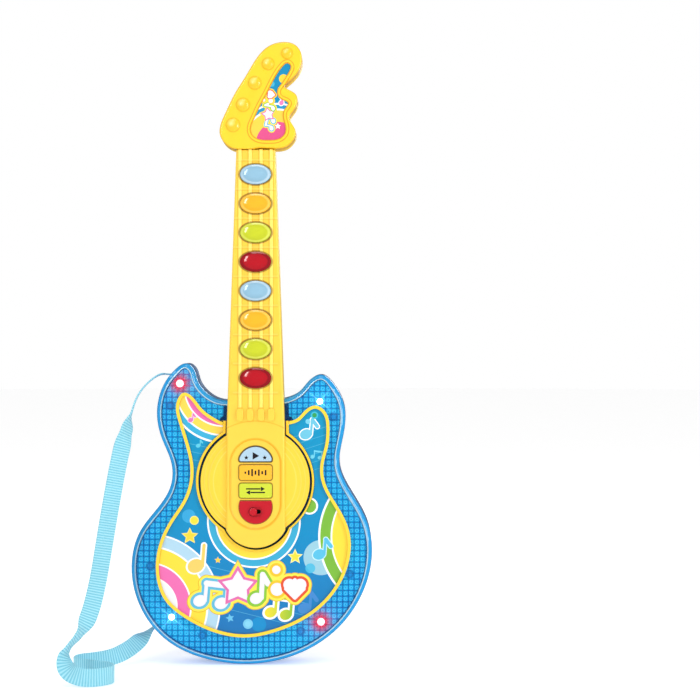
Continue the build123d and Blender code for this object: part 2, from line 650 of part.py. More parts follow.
def speaker_magnet():
    return post(SPEAKER_X, SPEAKER_Z, 13, *MAGNET_Y)


def battery_tray():
    x0, x1 = BAY_X - BAY_W / 2 + 0.2, BAY_X + BAY_W / 2 - 0.2
    z0, z1 = BAY_Z - BAY_H / 2 + 0.2, BAY_Z + BAY_H / 2 - 0.2
    tray = block(x0, x1, TRAY_FRONT_Y, TRAY_BACK_Y, z0, z1)
    return tray - block(x0 + 1.5, x1 - 1.5, TRAY_FRONT_Y + 1.5, TRAY_BACK_Y, z0 + 1.5, z1 - 1.5)


BATTERY_Y = TRAY_FRONT_Y + 1.5 + CELL_R + 0.3
BATTERY_HEIGHTS = tuple(BAY_Z + k * CELL_PITCH for k in (-1, 0, 1))


def battery(index):
    z = BATTERY_HEIGHTS[index]
    way = 1 if index % 2 else -1
    case = Pos(BAY_X, BATTERY_Y, z) * Rot(0, 90, 0) * Cylinder(CELL_R, CELL_L - 2)
    case += Pos(BAY_X + way * (CELL_L / 2 - 0.4), BATTERY_Y, z) * Rot(0, 90, 0) * Cylinder(2.6, 1.6)
    return case


def battery_spring(index):
    """Coil contact, kept as a plain tapered pillar."""
    z = BATTERY_HEIGHTS[index]
    way = -1 if index % 2 else 1
    gap = (BAY_W / 2 - 0.2 - 1.5 - 0.5) - (CELL_L / 2 - 1)
    middle = BAY_X + way * (CELL_L / 2 - 1 + gap / 2)
    return Pos(middle, BATTERY_Y, z) * Rot(0, 90 * way, 0) * Cone(3.2, 4.6, gap)


def contact_plate(index, way):
    z = BATTERY_HEIGHTS[index]
    x = BAY_X + way * (BAY_W / 2 - 0.2 - 1.5 - 0.25)
    return block(x - 0.25, x + 0.25, BATTERY_Y - 5.5, BATTERY_Y + 5.5, z - 6, z + 6)


def flat_contact(index):
    way = 1 if index % 2 else -1
    z = BATTERY_HEIGHTS[index]
    inner = BAY_X + way * (CELL_L / 2 + 0.4)
    outer = BAY_X + way * (BAY_W / 2 - 0.2 - 1.5 - 0.5)
    leaf = block(min(inner, outer), max(inner, outer), BATTERY_Y - 3, BATTERY_Y + 3, z - 3, z + 3)
    return leaf + contact_plate(index, way)


def battery_door():
    x0, x1 = BAY_X - BAY_W / 2 + 0.4, BAY_X + BAY_W / 2 - 0.4
    door = block(x0, x1, BACK_Y - DOOR_T, BACK_Y, BAY_Z - BAY_H / 2 + 0.4, DOOR_TOP_Z)
    for row in range(4):
        z = BAY_Z - 12 + row * 6
        door -= slab(at(BAY_X, z, SlotOverall(26, 1.6)), BACK_Y - 0.6, BACK_Y)
    door -= post(BAY_X, DOOR_SCREW_Z, 1.5, BACK_Y - DOOR_T, BACK_Y)
    return door - post(BAY_X, DOOR_SCREW_Z, 3.2, BACK_Y - 1.7, BACK_Y)


def screw(x, z, front, head_back, shaft_r=1.25, head_r=2.8, head_t=1.6):
    """Cross-head screw driven from behind, its head at the back."""
    seat = head_back - head_t
    shape = post(x, z, shaft_r, front, seat) + post(x, z, head_r, seat, head_back)
    slot = block(x - head_r * 0.6, x + head_r * 0.6, head_back - 0.7, head_back, z - 0.35, z + 0.35)
    slot += block(x - 0.35, x + 0.35, head_back - 0.7, head_back, z - head_r * 0.6, z + head_r * 0.6)
    return shape - slot


def mic_jack():
    case = block(JACK_X - 6, JACK_X + 6, BACK_Y - WALL - 12, BACK_Y - WALL, JACK_Z - 6, JACK_Z + 6)
    case += post(JACK_X, JACK_Z, 3.9, BACK_Y - WALL, BACK_Y)
    return case - post(JACK_X, JACK_Z, JACK_R, BACK_Y - JACK_L, BACK_Y)


def lamp(x, z):
    top = BODY_FACE_Y + WALL + 0.1
    body = post(x, z, LAMP_R, top + LAMP_R, top + LAMP_R + 6)
    body += Pos(x, top + LAMP_R, z) * Sphere(LAMP_R)
    return body + post(x, z, LAMP_R + 0.5, top + LAMP_R + 6, top + LAMP_R + 7)


def lamp_holder(x, z):
    front = BODY_FACE_Y + WALL + 1
    return post(x, z, 4.5, front, front + 6) - post(x, z, LAMP_R + 0.1, front, front + 6)


# ---------------------------------------------------------------- strap

# centre line, from the upper pin down to the floor, round its two loops and up to the lower pin
STRAP_ROUTE = [
    (-68.2, 9.0, 258.9), (-76.5, 8.5, 260.2), (-84.5, 4.0, 260.0), (-91.9, -5.0, 254.5),
    (-98.3, -14.0, 246.5), (-102.5, -22.0, 237.4), (-105.0, -28.0, 226.6), (-108.5, -33.0, 211.5),
    (-112.6, -38.5, 194.0), (-117.8, -45.0, 162.0), (-122.9, -54.0, 124.5), (-128.1, -64.0, 82.5),
    (-133.8, -72.0, 55.5), (-141.3, -78.0, 40.0), (-149.0, -82.5, 32.4), (-153.0, -87.0, 23.5),
    (-149.5, -93.0, 13.5), (-140.0, -96.0, 8.6), (-127.5, -95.5, 7.7), (-116.0, -90.0, 8.0),
    (-110.8, -80.0, 7.7), (-116.5, -69.5, 8.0), (-130.0, -62.0, 7.7), (-144.5, -57.0, 8.0),
    (-153.0, -48.5, 7.7), (-150.5, -38.0, 8.0), (-139.0, -31.0, 7.7), (-126.5, -25.5, 8.6),
    (-115.0, -18.0, 11.5), (-104.5, -9.0, 17.5), (-96.0, 1.5, 25.8), (-89.0, 8.5, 31.0),
    (-80.4, 9.0, 36.0),
]


def corner_radii(points):
    """Largest tangent arc that two neighbouring runs allow, one for each inner point."""
    radii = []
    for before, here, after in zip(points, points[1:], points[2:]):
        first, second = Vector(*here) - Vector(*before), Vector(*after) - Vector(*here)
        turn = radians(first.get_angle(second))
        radii.append(0.45 * min(first.length, second.length) / tan(turn / 2))
    return radii


def strap():
    radii = corner_radii(STRAP_ROUTE)
    path = FilletPolyline(*STRAP_ROUTE, radius=radii)
    tube = sweep(Plane(path @ 0, z_dir=path % 0) * Circle(STRAP_R), path=path)
    print("strap: length", round(path.length, 1), "radii", [round(r, 1) for r in radii])
    expected = pi * STRAP_R ** 2 * path.length
    print("strap: volume", round(tube.volume, 1), "section x length", round(expected, 1))
    return tube


def strap_pin(place):
    """Steel pin from the back wall, which the end of the webbing is sewn round."""
    return post(place[0], place[1], PIN_R, 0, BACK_Y - WALL)


# ---------------------------------------------------------------- wires inside


def wire(points, bend=5.0, radius=0.8):
    path = FilletPolyline(*points, radius=bend)
    return sweep(Plane(path @ 0, z_dir=path % 0) * Circle(radius), path=path)


LAMP_TAIL_Y = BODY_FACE_Y + WALL + 0.1 + 2 * LAMP_R + 4.5
LAMP_WIRE_KNEES = ((-34, 212), (42, 206), (-50, 96), (52, 100))


def lamp_wires():
    """One twin lead to each lamp, from the edge of the main board."""
    leads = []
    for (_, x, z), (knee_x, knee_z) in zip(LAMPS, LAMP_WIRE_KNEES):
        side = -1 if x < NECK_X else 1
        start_z = 190 if z > 150 else 148
        start = (NECK_X + side * 19.5, PCB_Y[1], start_z)
        leads.append(wire([start, (NECK_X + side * 19.5, 2, start_z), (knee_x, 2, knee_z), (x, 2, z),
                           (x, LAMP_TAIL_Y, z)], bend=2.0))
    return leads


def speaker_wires():
    leads = []
    for side in (-1, 1):
        x = SPEAKER_X + side * 3
        leads.append(wire([(x, PCB_Y[1], 186), (x, 2, 186), (x, 2, 174), (x, MAGNET_Y[0], 174)], bend=2.0))
    return leads


def battery_wires():
    leads = []
    for side in (-1, 1):
        x = NECK_X + side * 6
        leads.append(wire([(x, PCB_Y[1], 134), (x, -3, 134), (x, -3, 95), (x, TRAY_FRONT_Y, 95)], bend=2.0))
    return leads


# ---------------------------------------------------------------- screws and files


def body_screws():
    return [screw(x, z, -4, SCREW_SEAT_Y + 1.6) for x, z in BODY_SCREWS]


def neck_screws():
    screws = [screw(x, z, -14, SPLIT_Y - 1.9) for x, z in NECK_SCREWS]
    screws += [screw(x, z, -14, SPLIT_Y - 3.9) for x, z in HEAD_SCREWS]
    screws += [screw(x, z, 0.4, SCREW_SEAT_Y + 1.6) for x, z in HEEL_SCREWS]
    return screws


def board_screws():
    return [screw(x, z, PCB_Y[0] - 5, PCB_Y[1] + 1.2, 0.75, 1.8, 1.2) for x, z in BOARD_SCREWS]


def speaker_screws():
    """Short screws driven from inside; their broad heads clamp the rim of the speaker."""
    parts = []
    seat = BACK_Y - WALL - 2
    for x, z in SPEAKER_SCREWS:
        parts.append(post(x, z, 0.85, seat, BACK_Y - 1.2) + post(x, z, 4.2, seat - 1.4, seat))
    return parts


save(front_shell(), "front_shell", CLEAR_BLUE)
save(rear_shell(), "rear_shell", BLUE)
save(light_diffuser(), "light_diffuser", (0.1, 0.7, 0.95))
save(face_plate(), "face_plate", (0.1, 0.6, 0.8))
save(face_trim(), "face_trim", YELLOW)
save(disc_rim(), "disc_rim", YELLOW)
save(neck_front(), "neck_front", YELLOW)
save(neck_back(), "neck_back", YELLOW)
save(headstock_front(), "headstock_front", YELLOW)
save(headstock_sticker(), "headstock_sticker", (0.1, 0.55, 0.8))

NOTE_COLOURS = (RED, LIME, ORANGE, PALE)
for number in range(NOTE_COUNT):
    save(note_button(number), f"note_button_{number + 1}", NOTE_COLOURS[number % 4])
save(control_button(demo_face(), demo_face(0.9)), "demo_button", PALE)
save(control_button(bar_face(RHYTHM_Z), bar_face(RHYTHM_Z, 0.9)), "rhythm_button", ORANGE)
save(control_button(bar_face(CHANGE_Z), bar_face(CHANGE_Z, 0.9)), "change_button", LIME)
save(switch_plate(), "switch_plate", RED)
save(switch_knob(), "switch_knob", RED)
save(switch_body(), "switch_body", STEEL)
save(keypad(NECK_BOARD_Z, BOARD_HALF, [note_z(k) for k in range(NOTE_COUNT)], 5), "neck_keypad", WHITE)
save(keypad(PANEL_PAD_Z, PANEL_BOARD_HALF, CONTROL_HEIGHTS, 4), "control_keypad", WHITE)
save(board(NECK_BOARD_Z, BOARD_HALF), "neck_board", GREEN)
save(board(PANEL_BOARD_Z, PANEL_BOARD_HALF), "main_board", GREEN)
save(main_chip(), "main_chip", BLACK)
save_group(capacitors(), "capacitors", BLACK)
save(ribbon_cable(), "ribbon_cable", STEEL)

save(speaker_frame(), "speaker_frame", STEEL)
save(speaker_cone(), "speaker_cone", BLACK)
save(speaker_magnet(), "speaker_magnet", STEEL)
for name, x, z in LAMPS:
    save(lamp(x, z), name, WHITE)
save_group([lamp_holder(x, z) for _, x, z in LAMPS], "lamp_holders", WHITE)
save(battery_tray(), "battery_tray", BLACK)
save_group([battery(k) for k in range(3)], "batteries", (0.8, 0.5, 0.1))
save_group([battery_spring(k) for k in range(3)], "battery_springs", STEEL)
save_group([contact_plate(k, -1 if k % 2 else 1) for k in range(3)], "spring_plates", STEEL)
save_group([flat_contact(k) for k in range(3)], "flat_contacts", STEEL)
save(battery_door(), "battery_door", BLUE)
save(screw(BAY_X, DOOR_SCREW_Z, BACK_Y - 10, BACK_Y), "battery_door_screw", STEEL)
save(mic_jack(), "mic_jack", BLACK)

save(strap(), "strap", (0.6, 0.85, 0.92))
save(strap_pin(UPPER_PIN), "strap_pin_upper", STEEL)
save(strap_pin(LOWER_PIN), "strap_pin_lower", STEEL)

save_group(body_screws(), "body_screws", STEEL)
save_group(neck_screws(), "neck_screws", STEEL)
save_group(board_screws(), "board_screws", STEEL)
save_group(speaker_screws(), "speaker_screws", STEEL)
save_group(speaker_wires(), "speaker_wires", RED)
save_group(battery_wires(), "battery_wires", RED)
save_group(lamp_wires(), "lamp_wires", WHITE)
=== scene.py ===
from math import cos, pi, radians, sin

import bmesh
import bpy
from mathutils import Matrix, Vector
from mathutils.bvhtree import BVHTree


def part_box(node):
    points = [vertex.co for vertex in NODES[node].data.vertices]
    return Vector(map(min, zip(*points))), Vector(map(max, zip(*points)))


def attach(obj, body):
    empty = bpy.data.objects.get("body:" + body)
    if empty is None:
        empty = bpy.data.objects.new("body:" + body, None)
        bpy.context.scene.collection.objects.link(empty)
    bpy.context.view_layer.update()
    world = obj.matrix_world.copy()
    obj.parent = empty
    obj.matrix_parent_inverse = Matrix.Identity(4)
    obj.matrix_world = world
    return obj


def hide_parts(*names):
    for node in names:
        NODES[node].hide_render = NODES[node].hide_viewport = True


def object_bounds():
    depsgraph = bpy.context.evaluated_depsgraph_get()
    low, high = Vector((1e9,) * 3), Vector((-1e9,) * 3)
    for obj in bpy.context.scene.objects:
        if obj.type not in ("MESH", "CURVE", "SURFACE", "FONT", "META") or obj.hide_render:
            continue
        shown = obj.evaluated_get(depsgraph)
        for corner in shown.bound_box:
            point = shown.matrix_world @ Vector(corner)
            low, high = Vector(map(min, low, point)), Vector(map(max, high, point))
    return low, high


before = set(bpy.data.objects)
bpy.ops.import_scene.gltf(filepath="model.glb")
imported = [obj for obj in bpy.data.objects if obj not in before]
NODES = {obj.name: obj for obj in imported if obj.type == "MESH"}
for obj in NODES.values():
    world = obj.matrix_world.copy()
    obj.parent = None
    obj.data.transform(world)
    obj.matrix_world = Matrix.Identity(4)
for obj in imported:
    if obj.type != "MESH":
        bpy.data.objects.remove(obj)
CAD_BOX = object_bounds()

# Toy electric guitar. Metres in the scene; patterns are drawn in millimetres on X and Z.
MM = 0.001

# places that the patterns follow, in millimetres, as in the part
NECK_X = 4.1
NUT_Z = 460.7
NECK_HALF = 26.1
STRINGS_LOW_Z = 230.0
FRET_HALF_W = 20.0
STRING_SIDES = (-13.9, -4.85, 4.85, 13.9)
DISC_X = NECK_X - 0.8
DISC_Z = 164.5
DISC_R = 49.3
NOTE_LOW_Z = 257.0
NOTE_PITCH = 25.9
NOTE_COUNT = 8
CELL_PITCH = 5.1
DEMO_Z = (182.6, 196.1)
RHYTHM_Z = (166.1, 179.6)
CHANGE_Z = (150.3, 163.2)
SWITCH_Z = (127.3, 147.6)
CONTROL_HALF_W = 14.6
DEMO_SHOULDER, SWITCH_SHOULDER, SHOULDER_ROUND = 3, 6, 1.6
STADIUM_Z = (122.5, 202.8)
STADIUM_R = 22.4
FOOT_Z = 135.5
FOOT_R = 30.7
PANEL_TOP_Z = 212.0
PANEL_TOP_R = 54.4
PLAY_MARK_Z = 187.8
ARROW_Z = (158.4, 155.2)
HEAD_FACE_Y = -21.0
PEGS = ((32.2, 545.9, 4.9), (15.3, 536.5, 5.4), (3.5, 519.5, 5.8), (-7.0, 500.1, 6.0), (-15.9, 482.2, 6.2))
LAMPS = (("lamp_red_upper", -64.4, 252.0), ("lamp_white_upper", 61.2, 235.9),
         ("lamp_white_lower", -71.9, 42.3), ("lamp_red_lower", 62.2, 38.2))
BODY_SCREWS = ((-44.0, 26.0), (44.0, 30.0), (88.0, 81.0), (-91.0, 88.0), (-73.0, 232.0), (73.5, 222.0))


def srgb(red, green, blue):
    """Linear colour of a colour given as it looks on screen, 0 to 255."""
    return tuple((c / 255 / 12.92 if c < 10 else ((c / 255 + 0.055) / 1.055) ** 2.4)
                 for c in (red, green, blue)) + (1.0,)


WHITE_INK = srgb(250, 250, 250)
BLACK_INK = srgb(32, 28, 34)

# -------------------- shader drawing


class Surface:
    """A procedural material: moulded or printed base, with shapes painted over it in order."""

    def __init__(self, name, colour, roughness=0.32, mottle=0.05, grain=0.2, grain_size=0.4, fixed=()):
        self.material = bpy.data.materials.new(name)
        self.material.use_nodes = True
        self.tree = self.material.node_tree
        self.shader = self.tree.nodes["Principled BSDF"]
        for key, value in dict(fixed).items():
            self.shader.inputs[key].default_value = value
        coords = self.node("ShaderNodeTexCoord").outputs["Object"]
        self.place = self.vector("SCALE", coords, scale=1 / MM)
        self.across, self.depth, self.up = self.split(self.place)
        self.flat = self.join(self.across, self.up, 0.0)
        patches = self.noise(14.0, detail=3)
        self.colour = self.mix(patches, scaled(colour, 1 - mottle), scaled(colour, 1 + mottle))
        shine = self.math("MULTIPLY_ADD", self.noise(5.0, detail=4), 0.14, roughness - 0.07)
        self.link(shine, self.shader.inputs["Roughness"])
        self.bump_height = self.times(self.noise(grain_size, detail=2), grain * 0.1)
        self.glow = None

    def node(self, kind, **settings):
        made = self.tree.nodes.new(kind)
        for key, value in settings.items():
            setattr(made, key, value)
        return made

    def link(self, value, socket):
        if isinstance(value, bpy.types.NodeSocket):
            self.tree.links.new(value, socket)
        else:
            socket.default_value = value

    def math(self, operation, *values):
        made = self.node("ShaderNodeMath", operation=operation)
        for value, socket in zip(values, made.inputs):
            self.link(value, socket)
        return made.outputs[0]

    def plus(self, first, second):
        return self.math("ADD", first, second)

    def minus(self, first, second):
        return self.math("SUBTRACT", first, second)

    def times(self, first, second):
        return self.math("MULTIPLY", first, second)

    def size_of(self, value):
        return self.math("ABSOLUTE", value)

    def wrapped(self, value, period):
        """Value brought into one period, with zero in its middle."""
        return self.minus(self.math("FLOORED_MODULO", value, period), period / 2)

    def vector(self, operation, *values, scale=None):
        made = self.node("ShaderNodeVectorMath", operation=operation)
        for value, socket in zip(values, made.inputs):
            self.link(value, socket)
        if scale is not None:
            self.link(scale, made.inputs["Scale"])
        lone = operation in ("LENGTH", "DISTANCE", "DOT_PRODUCT")
        return made.outputs["Value" if lone else "Vector"]

    def away(self, where, x, z):
        return self.vector("DISTANCE", where, (x, z, 0))

    def split(self, vector):
        made = self.node("ShaderNodeSeparateXYZ")
        self.link(vector, made.inputs[0])
        return made.outputs[0], made.outputs[1], made.outputs[2]

    def join(self, x, y, z):
        made = self.node("ShaderNodeCombineXYZ")
        for value, socket in zip((x, y, z), made.inputs):
            self.link(value, socket)
        return made.outputs[0]

    def noise(self, size, detail=2.0, where=None):
        made = self.node("ShaderNodeTexNoise")
        self.link(self.place if where is None else where, made.inputs["Vector"])
        made.inputs["Scale"].default_value = 1 / size
        made.inputs["Detail"].default_value = detail
        return made.outputs["Fac"]

    def mix(self, share, first, second):
        made = self.node("ShaderNodeMix", data_type="RGBA")
        self.link(share, made.inputs[0])
        self.link(first, made.inputs[6])
        self.link(second, made.inputs[7])
        return made.outputs[2]

    def ramp(self, value, low, high):
        """0 below low, 1 above high, straight between."""
        made = self.node("ShaderNodeMapRange")
        self.link(value, made.inputs[0])
        made.inputs[1].default_value = low
        made.inputs[2].default_value = high
        return made.outputs[0]

    def blend(self, share, first, second):
        """Shader that is first, and second for this share of it."""
        made = self.node("ShaderNodeMixShader")
        for value, socket in zip((share, first, second), made.inputs):
            self.link(value, socket)
        return made.outputs[0]

    def show(self, shader):
        self.link(shader, self.tree.nodes["Material Output"].inputs["Surface"])

    # shapes: each gives a distance in millimetres, below zero inside

    def local(self, x, z, turn=0.0, size=1.0, size_z=None, where=None):
        """Frame with its origin at x, z, turned by degrees and enlarged by size, size_z."""
        made = self.node("ShaderNodeMapping", vector_type="TEXTURE")
        self.link(self.flat if where is None else where, made.inputs["Vector"])
        made.inputs["Location"].default_value = (x, z, 0)
        made.inputs["Rotation"].default_value = (0, 0, radians(turn))
        made.inputs["Scale"].default_value = (size, size_z or size, 1)
        return made.outputs[0]

    def disc(self, where, x, z, radius):
        return self.minus(self.away(where, x, z), radius)

    def oval(self, where, x, z, half_x, half_z, turn=0.0):
        reach = self.vector("LENGTH", self.local(x, z, turn, half_x, half_z, where))
        least = min(half_x, half_z)
        return self.math("MULTIPLY_ADD", reach, least, -least)

    def block(self, where, x, z, half_x, half_z, round_by=0.0, turn=0.0):
        inner = (half_x - round_by, half_z - round_by, 0)
        corner = self.vector("SUBTRACT", self.vector("ABSOLUTE", self.local(x, z, turn, where=where)), inner)
        outside = self.vector("LENGTH", self.vector("MAXIMUM", corner, (0, 0, 0)))
        right, top, _ = self.split(corner)
        inside = self.math("MINIMUM", self.math("MAXIMUM", right, top), 0.0)
        return self.minus(self.plus(outside, inside), round_by)

    def bar(self, where, x0, z0, x1, z1, radius):
        """Straight stroke with round ends."""
        run = Vector((x1 - x0, z1 - z0))
        turn = run.angle_signed(Vector((1, 0))) * 180 / pi
        half = run.length / 2
        return self.block(where, (x0 + x1) / 2, (z0 + z1) / 2, half + radius, radius, radius, turn)

    def wedge(self, where, x, z, reach, turn=0.0):
        """Triangle with equal sides, pointing along its own X."""
        along, side, _ = self.split(self.local(x, z, turn, where=where))
        slant = self.plus(self.times(self.size_of(side), sin(pi / 3)), self.times(along, cos(pi / 3)))
        return self.minus(self.both(slant, self.times(along, -1.0)), reach / 2)

    def star(self, where, x, z, reach, notch=0.48, turn=0.0):
        """Star with its first point straight up."""
        spot = self.local(x, z, turn + 90, where=where)
        right, top, _ = self.split(spot)
        slice_angle = 2 * pi / 5
        angle = self.math("ARCTAN2", top, right)
        folded = self.size_of(self.wrapped(self.plus(angle, slice_angle / 2), slice_angle))
        away = self.vector("LENGTH", spot)
        tip = Vector((reach, 0))
        dent = Vector((cos(slice_angle / 2), sin(slice_angle / 2))) * reach * notch
        normal = Vector((dent.y, tip.x - dent.x)).normalized()
        along = self.times(self.times(away, self.math("COSINE", folded)), normal.x)
        side = self.times(self.times(away, self.math("SINE", folded)), normal.y)
        return self.minus(self.plus(along, side), reach * normal.x)

    def either(self, *distances):
        total = distances[0]
        for distance in distances[1:]:
            total = self.math("MINIMUM", total, distance)
        return total

    def both(self, first, second):
        return self.math("MAXIMUM", first, second)

    def ring(self, distance, half_width):
        return self.minus(self.size_of(distance), half_width)

    # painting

    def inside(self, distance, grow=0.0, blur=0.0):
        if blur:
            return self.minus(1.0, self.ramp(distance, grow - blur, grow + blur))
        return self.math("LESS_THAN", distance, grow)

    def paint(self, distance, colour, grow=0.0, strength=1.0, blur=0.0):
        share = self.inside(distance, grow, blur)
        if strength != 1.0:
            share = self.times(share, strength)
        self.colour = self.mix(share, self.colour, colour)

    def spot(self, x, z, radius, colour, **how):
        """Round spot on the face of the piece."""
        self.paint(self.disc(self.flat, x, z, radius), colour, **how)

    def outlined(self, distance, fill, line, width):
        self.paint(distance, line, grow=width)
        self.paint(distance, fill)

    def raise_by(self, height):
        self.bump_height = self.plus(self.bump_height, height)

    def light(self, strength, colour):
        """Adds light of its own, of this strength at each point."""
        made = self.vector("SCALE", colour[:3], scale=strength)
        self.glow = made if self.glow is None else self.vector("ADD", self.glow, made)

    def done(self):
        self.link(self.colour, self.shader.inputs["Base Color"])
        bump = self.node("ShaderNodeBump")
        bump.inputs["Distance"].default_value = MM
        self.link(self.bump_height, bump.inputs["Height"])
        self.link(bump.outputs[0], self.shader.inputs["Normal"])
        if self.glow is not None:
            self.link(self.glow, self.shader.inputs["Emission Color"])
            self.shader.inputs["Emission Strength"].default_value = 1.0
        return self.material


def scaled(colour, factor):
    return tuple(min(c * factor, 1.0) for c in colour[:3]) + (1.0,)


GLOSSY = {"Coat Weight": 0.6, "Coat Roughness": 0.06}
SATIN = {"Coat Weight": 0.25, "Coat Roughness": 0.18}


def wear(material, *names):
    for name in names:
        slots = NODES[name].data.materials
        slots.clear()
        slots.append(material)


# -------------------- printed art


def note(skin, where, x, z, size, fill, line, width, flagged=True):
    """A quaver: round head, stem and flag."""
    head = skin.oval(where, x, z, size, size * 0.82, 20)
    stem_x = x + size * 0.82
    stem = skin.bar(where, stem_x, z, stem_x + size * 0.2, z + size * 2.5, size * 0.2)
    shape = skin.either(head, stem)
    if flagged:
        flag = skin.bar(where, stem_x + size * 0.25, z + size * 2.4, stem_x + size * 1.05, z + size * 1.3,
                        size * 0.3)
        shape = skin.either(shape, flag)
    skin.outlined(shape, fill, line, width)


def beamed(skin, where, x, z, size, spread):
    """Two notes under one slanted beam, as one shape."""
    shape = skin.oval(where, x, z, size, size * 0.85, 20)
    shape = skin.either(shape, skin.oval(where, x + spread, z - size * 0.4, size, size * 0.85, 20))
    rise = size * 2.9
    for left, low in ((x + size * 0.8, z), (x + spread + size * 0.8, z - size * 0.4)):
        shape = skin.either(shape, skin.bar(where, left, low, left + size * 0.25, low + rise, size * 0.24))
    left, top = x + size * 1.05, z + rise
    return skin.either(shape, skin.bar(where, left, top - size * 0.2, left + spread, top - size * 0.6,
                                       size * 0.42))


def heart(skin, where, x, z, size):
    lobes = skin.either(skin.disc(where, x - size * 0.5, z + size * 0.36, size * 0.52),
                        skin.disc(where, x + size * 0.5, z + size * 0.36, size * 0.52))
    point = skin.block(where, x, z - size * 0.02, size * 0.71, size * 0.71, size * 0.12, 45)
    return skin.either(lobes, point)


def motif(skin, where):
    """Row of five bubbly icons on one yellow contour, in a frame 100 wide and 42 high."""
    icons = (
        (beamed(skin, where, -43.0, -14.5, 5.6, 18.5), srgb(98, 186, 216)),
        (skin.star(where, -10.0, -2.5, 14.0, 0.56), srgb(226, 110, 172)),
        (skin.either(skin.oval(where, 6.0, -12.5, 5.4, 4.6, 20),
                     skin.bar(where, 10.4, -12.0, 11.4, 8.5, 1.9),
                     skin.bar(where, 11.6, 8.0, 16.0, 0.5, 2.3)), srgb(140, 198, 62)),
        (skin.either(skin.disc(where, 23.4, 12.4, 3.4), skin.disc(where, 24.0, -4.6, 5.4)),
         srgb(250, 196, 44)),
        (heart(skin, where, 39.5, -4.0, 9.6), srgb(226, 84, 48)),
    )
    for shape, _ in icons:
        skin.paint(shape, srgb(222, 170, 30), grow=5.1)
    for shape, _ in icons:
        skin.paint(shape, srgb(252, 230, 80), grow=4.5)
    for shape, line in icons:
        skin.paint(shape, line, grow=2.5)
        skin.paint(shape, srgb(238, 232, 244), grow=0.2)
        skin.paint(shape, WHITE_INK, grow=-1.2)


def rings(skin, where, x, z, bands):
    """Circles painted one inside the other, from the largest."""
    distance = skin.away(where, x, z)
    for radius, colour in bands:
        skin.paint(distance, colour, grow=radius)


def staff(skin, x, z, half_x, half_z, pitch, turn):
    """Faint ruled music lines inside a box."""
    where = skin.local(x, z, turn)
    _, rise, _ = skin.split(where)
    line = skin.wrapped(rise, pitch)
    ruled = skin.both(skin.ring(line, 0.22), skin.block(where, 0, 0, half_x, half_z))
    skin.paint(ruled, srgb(96, 196, 224), strength=0.6)


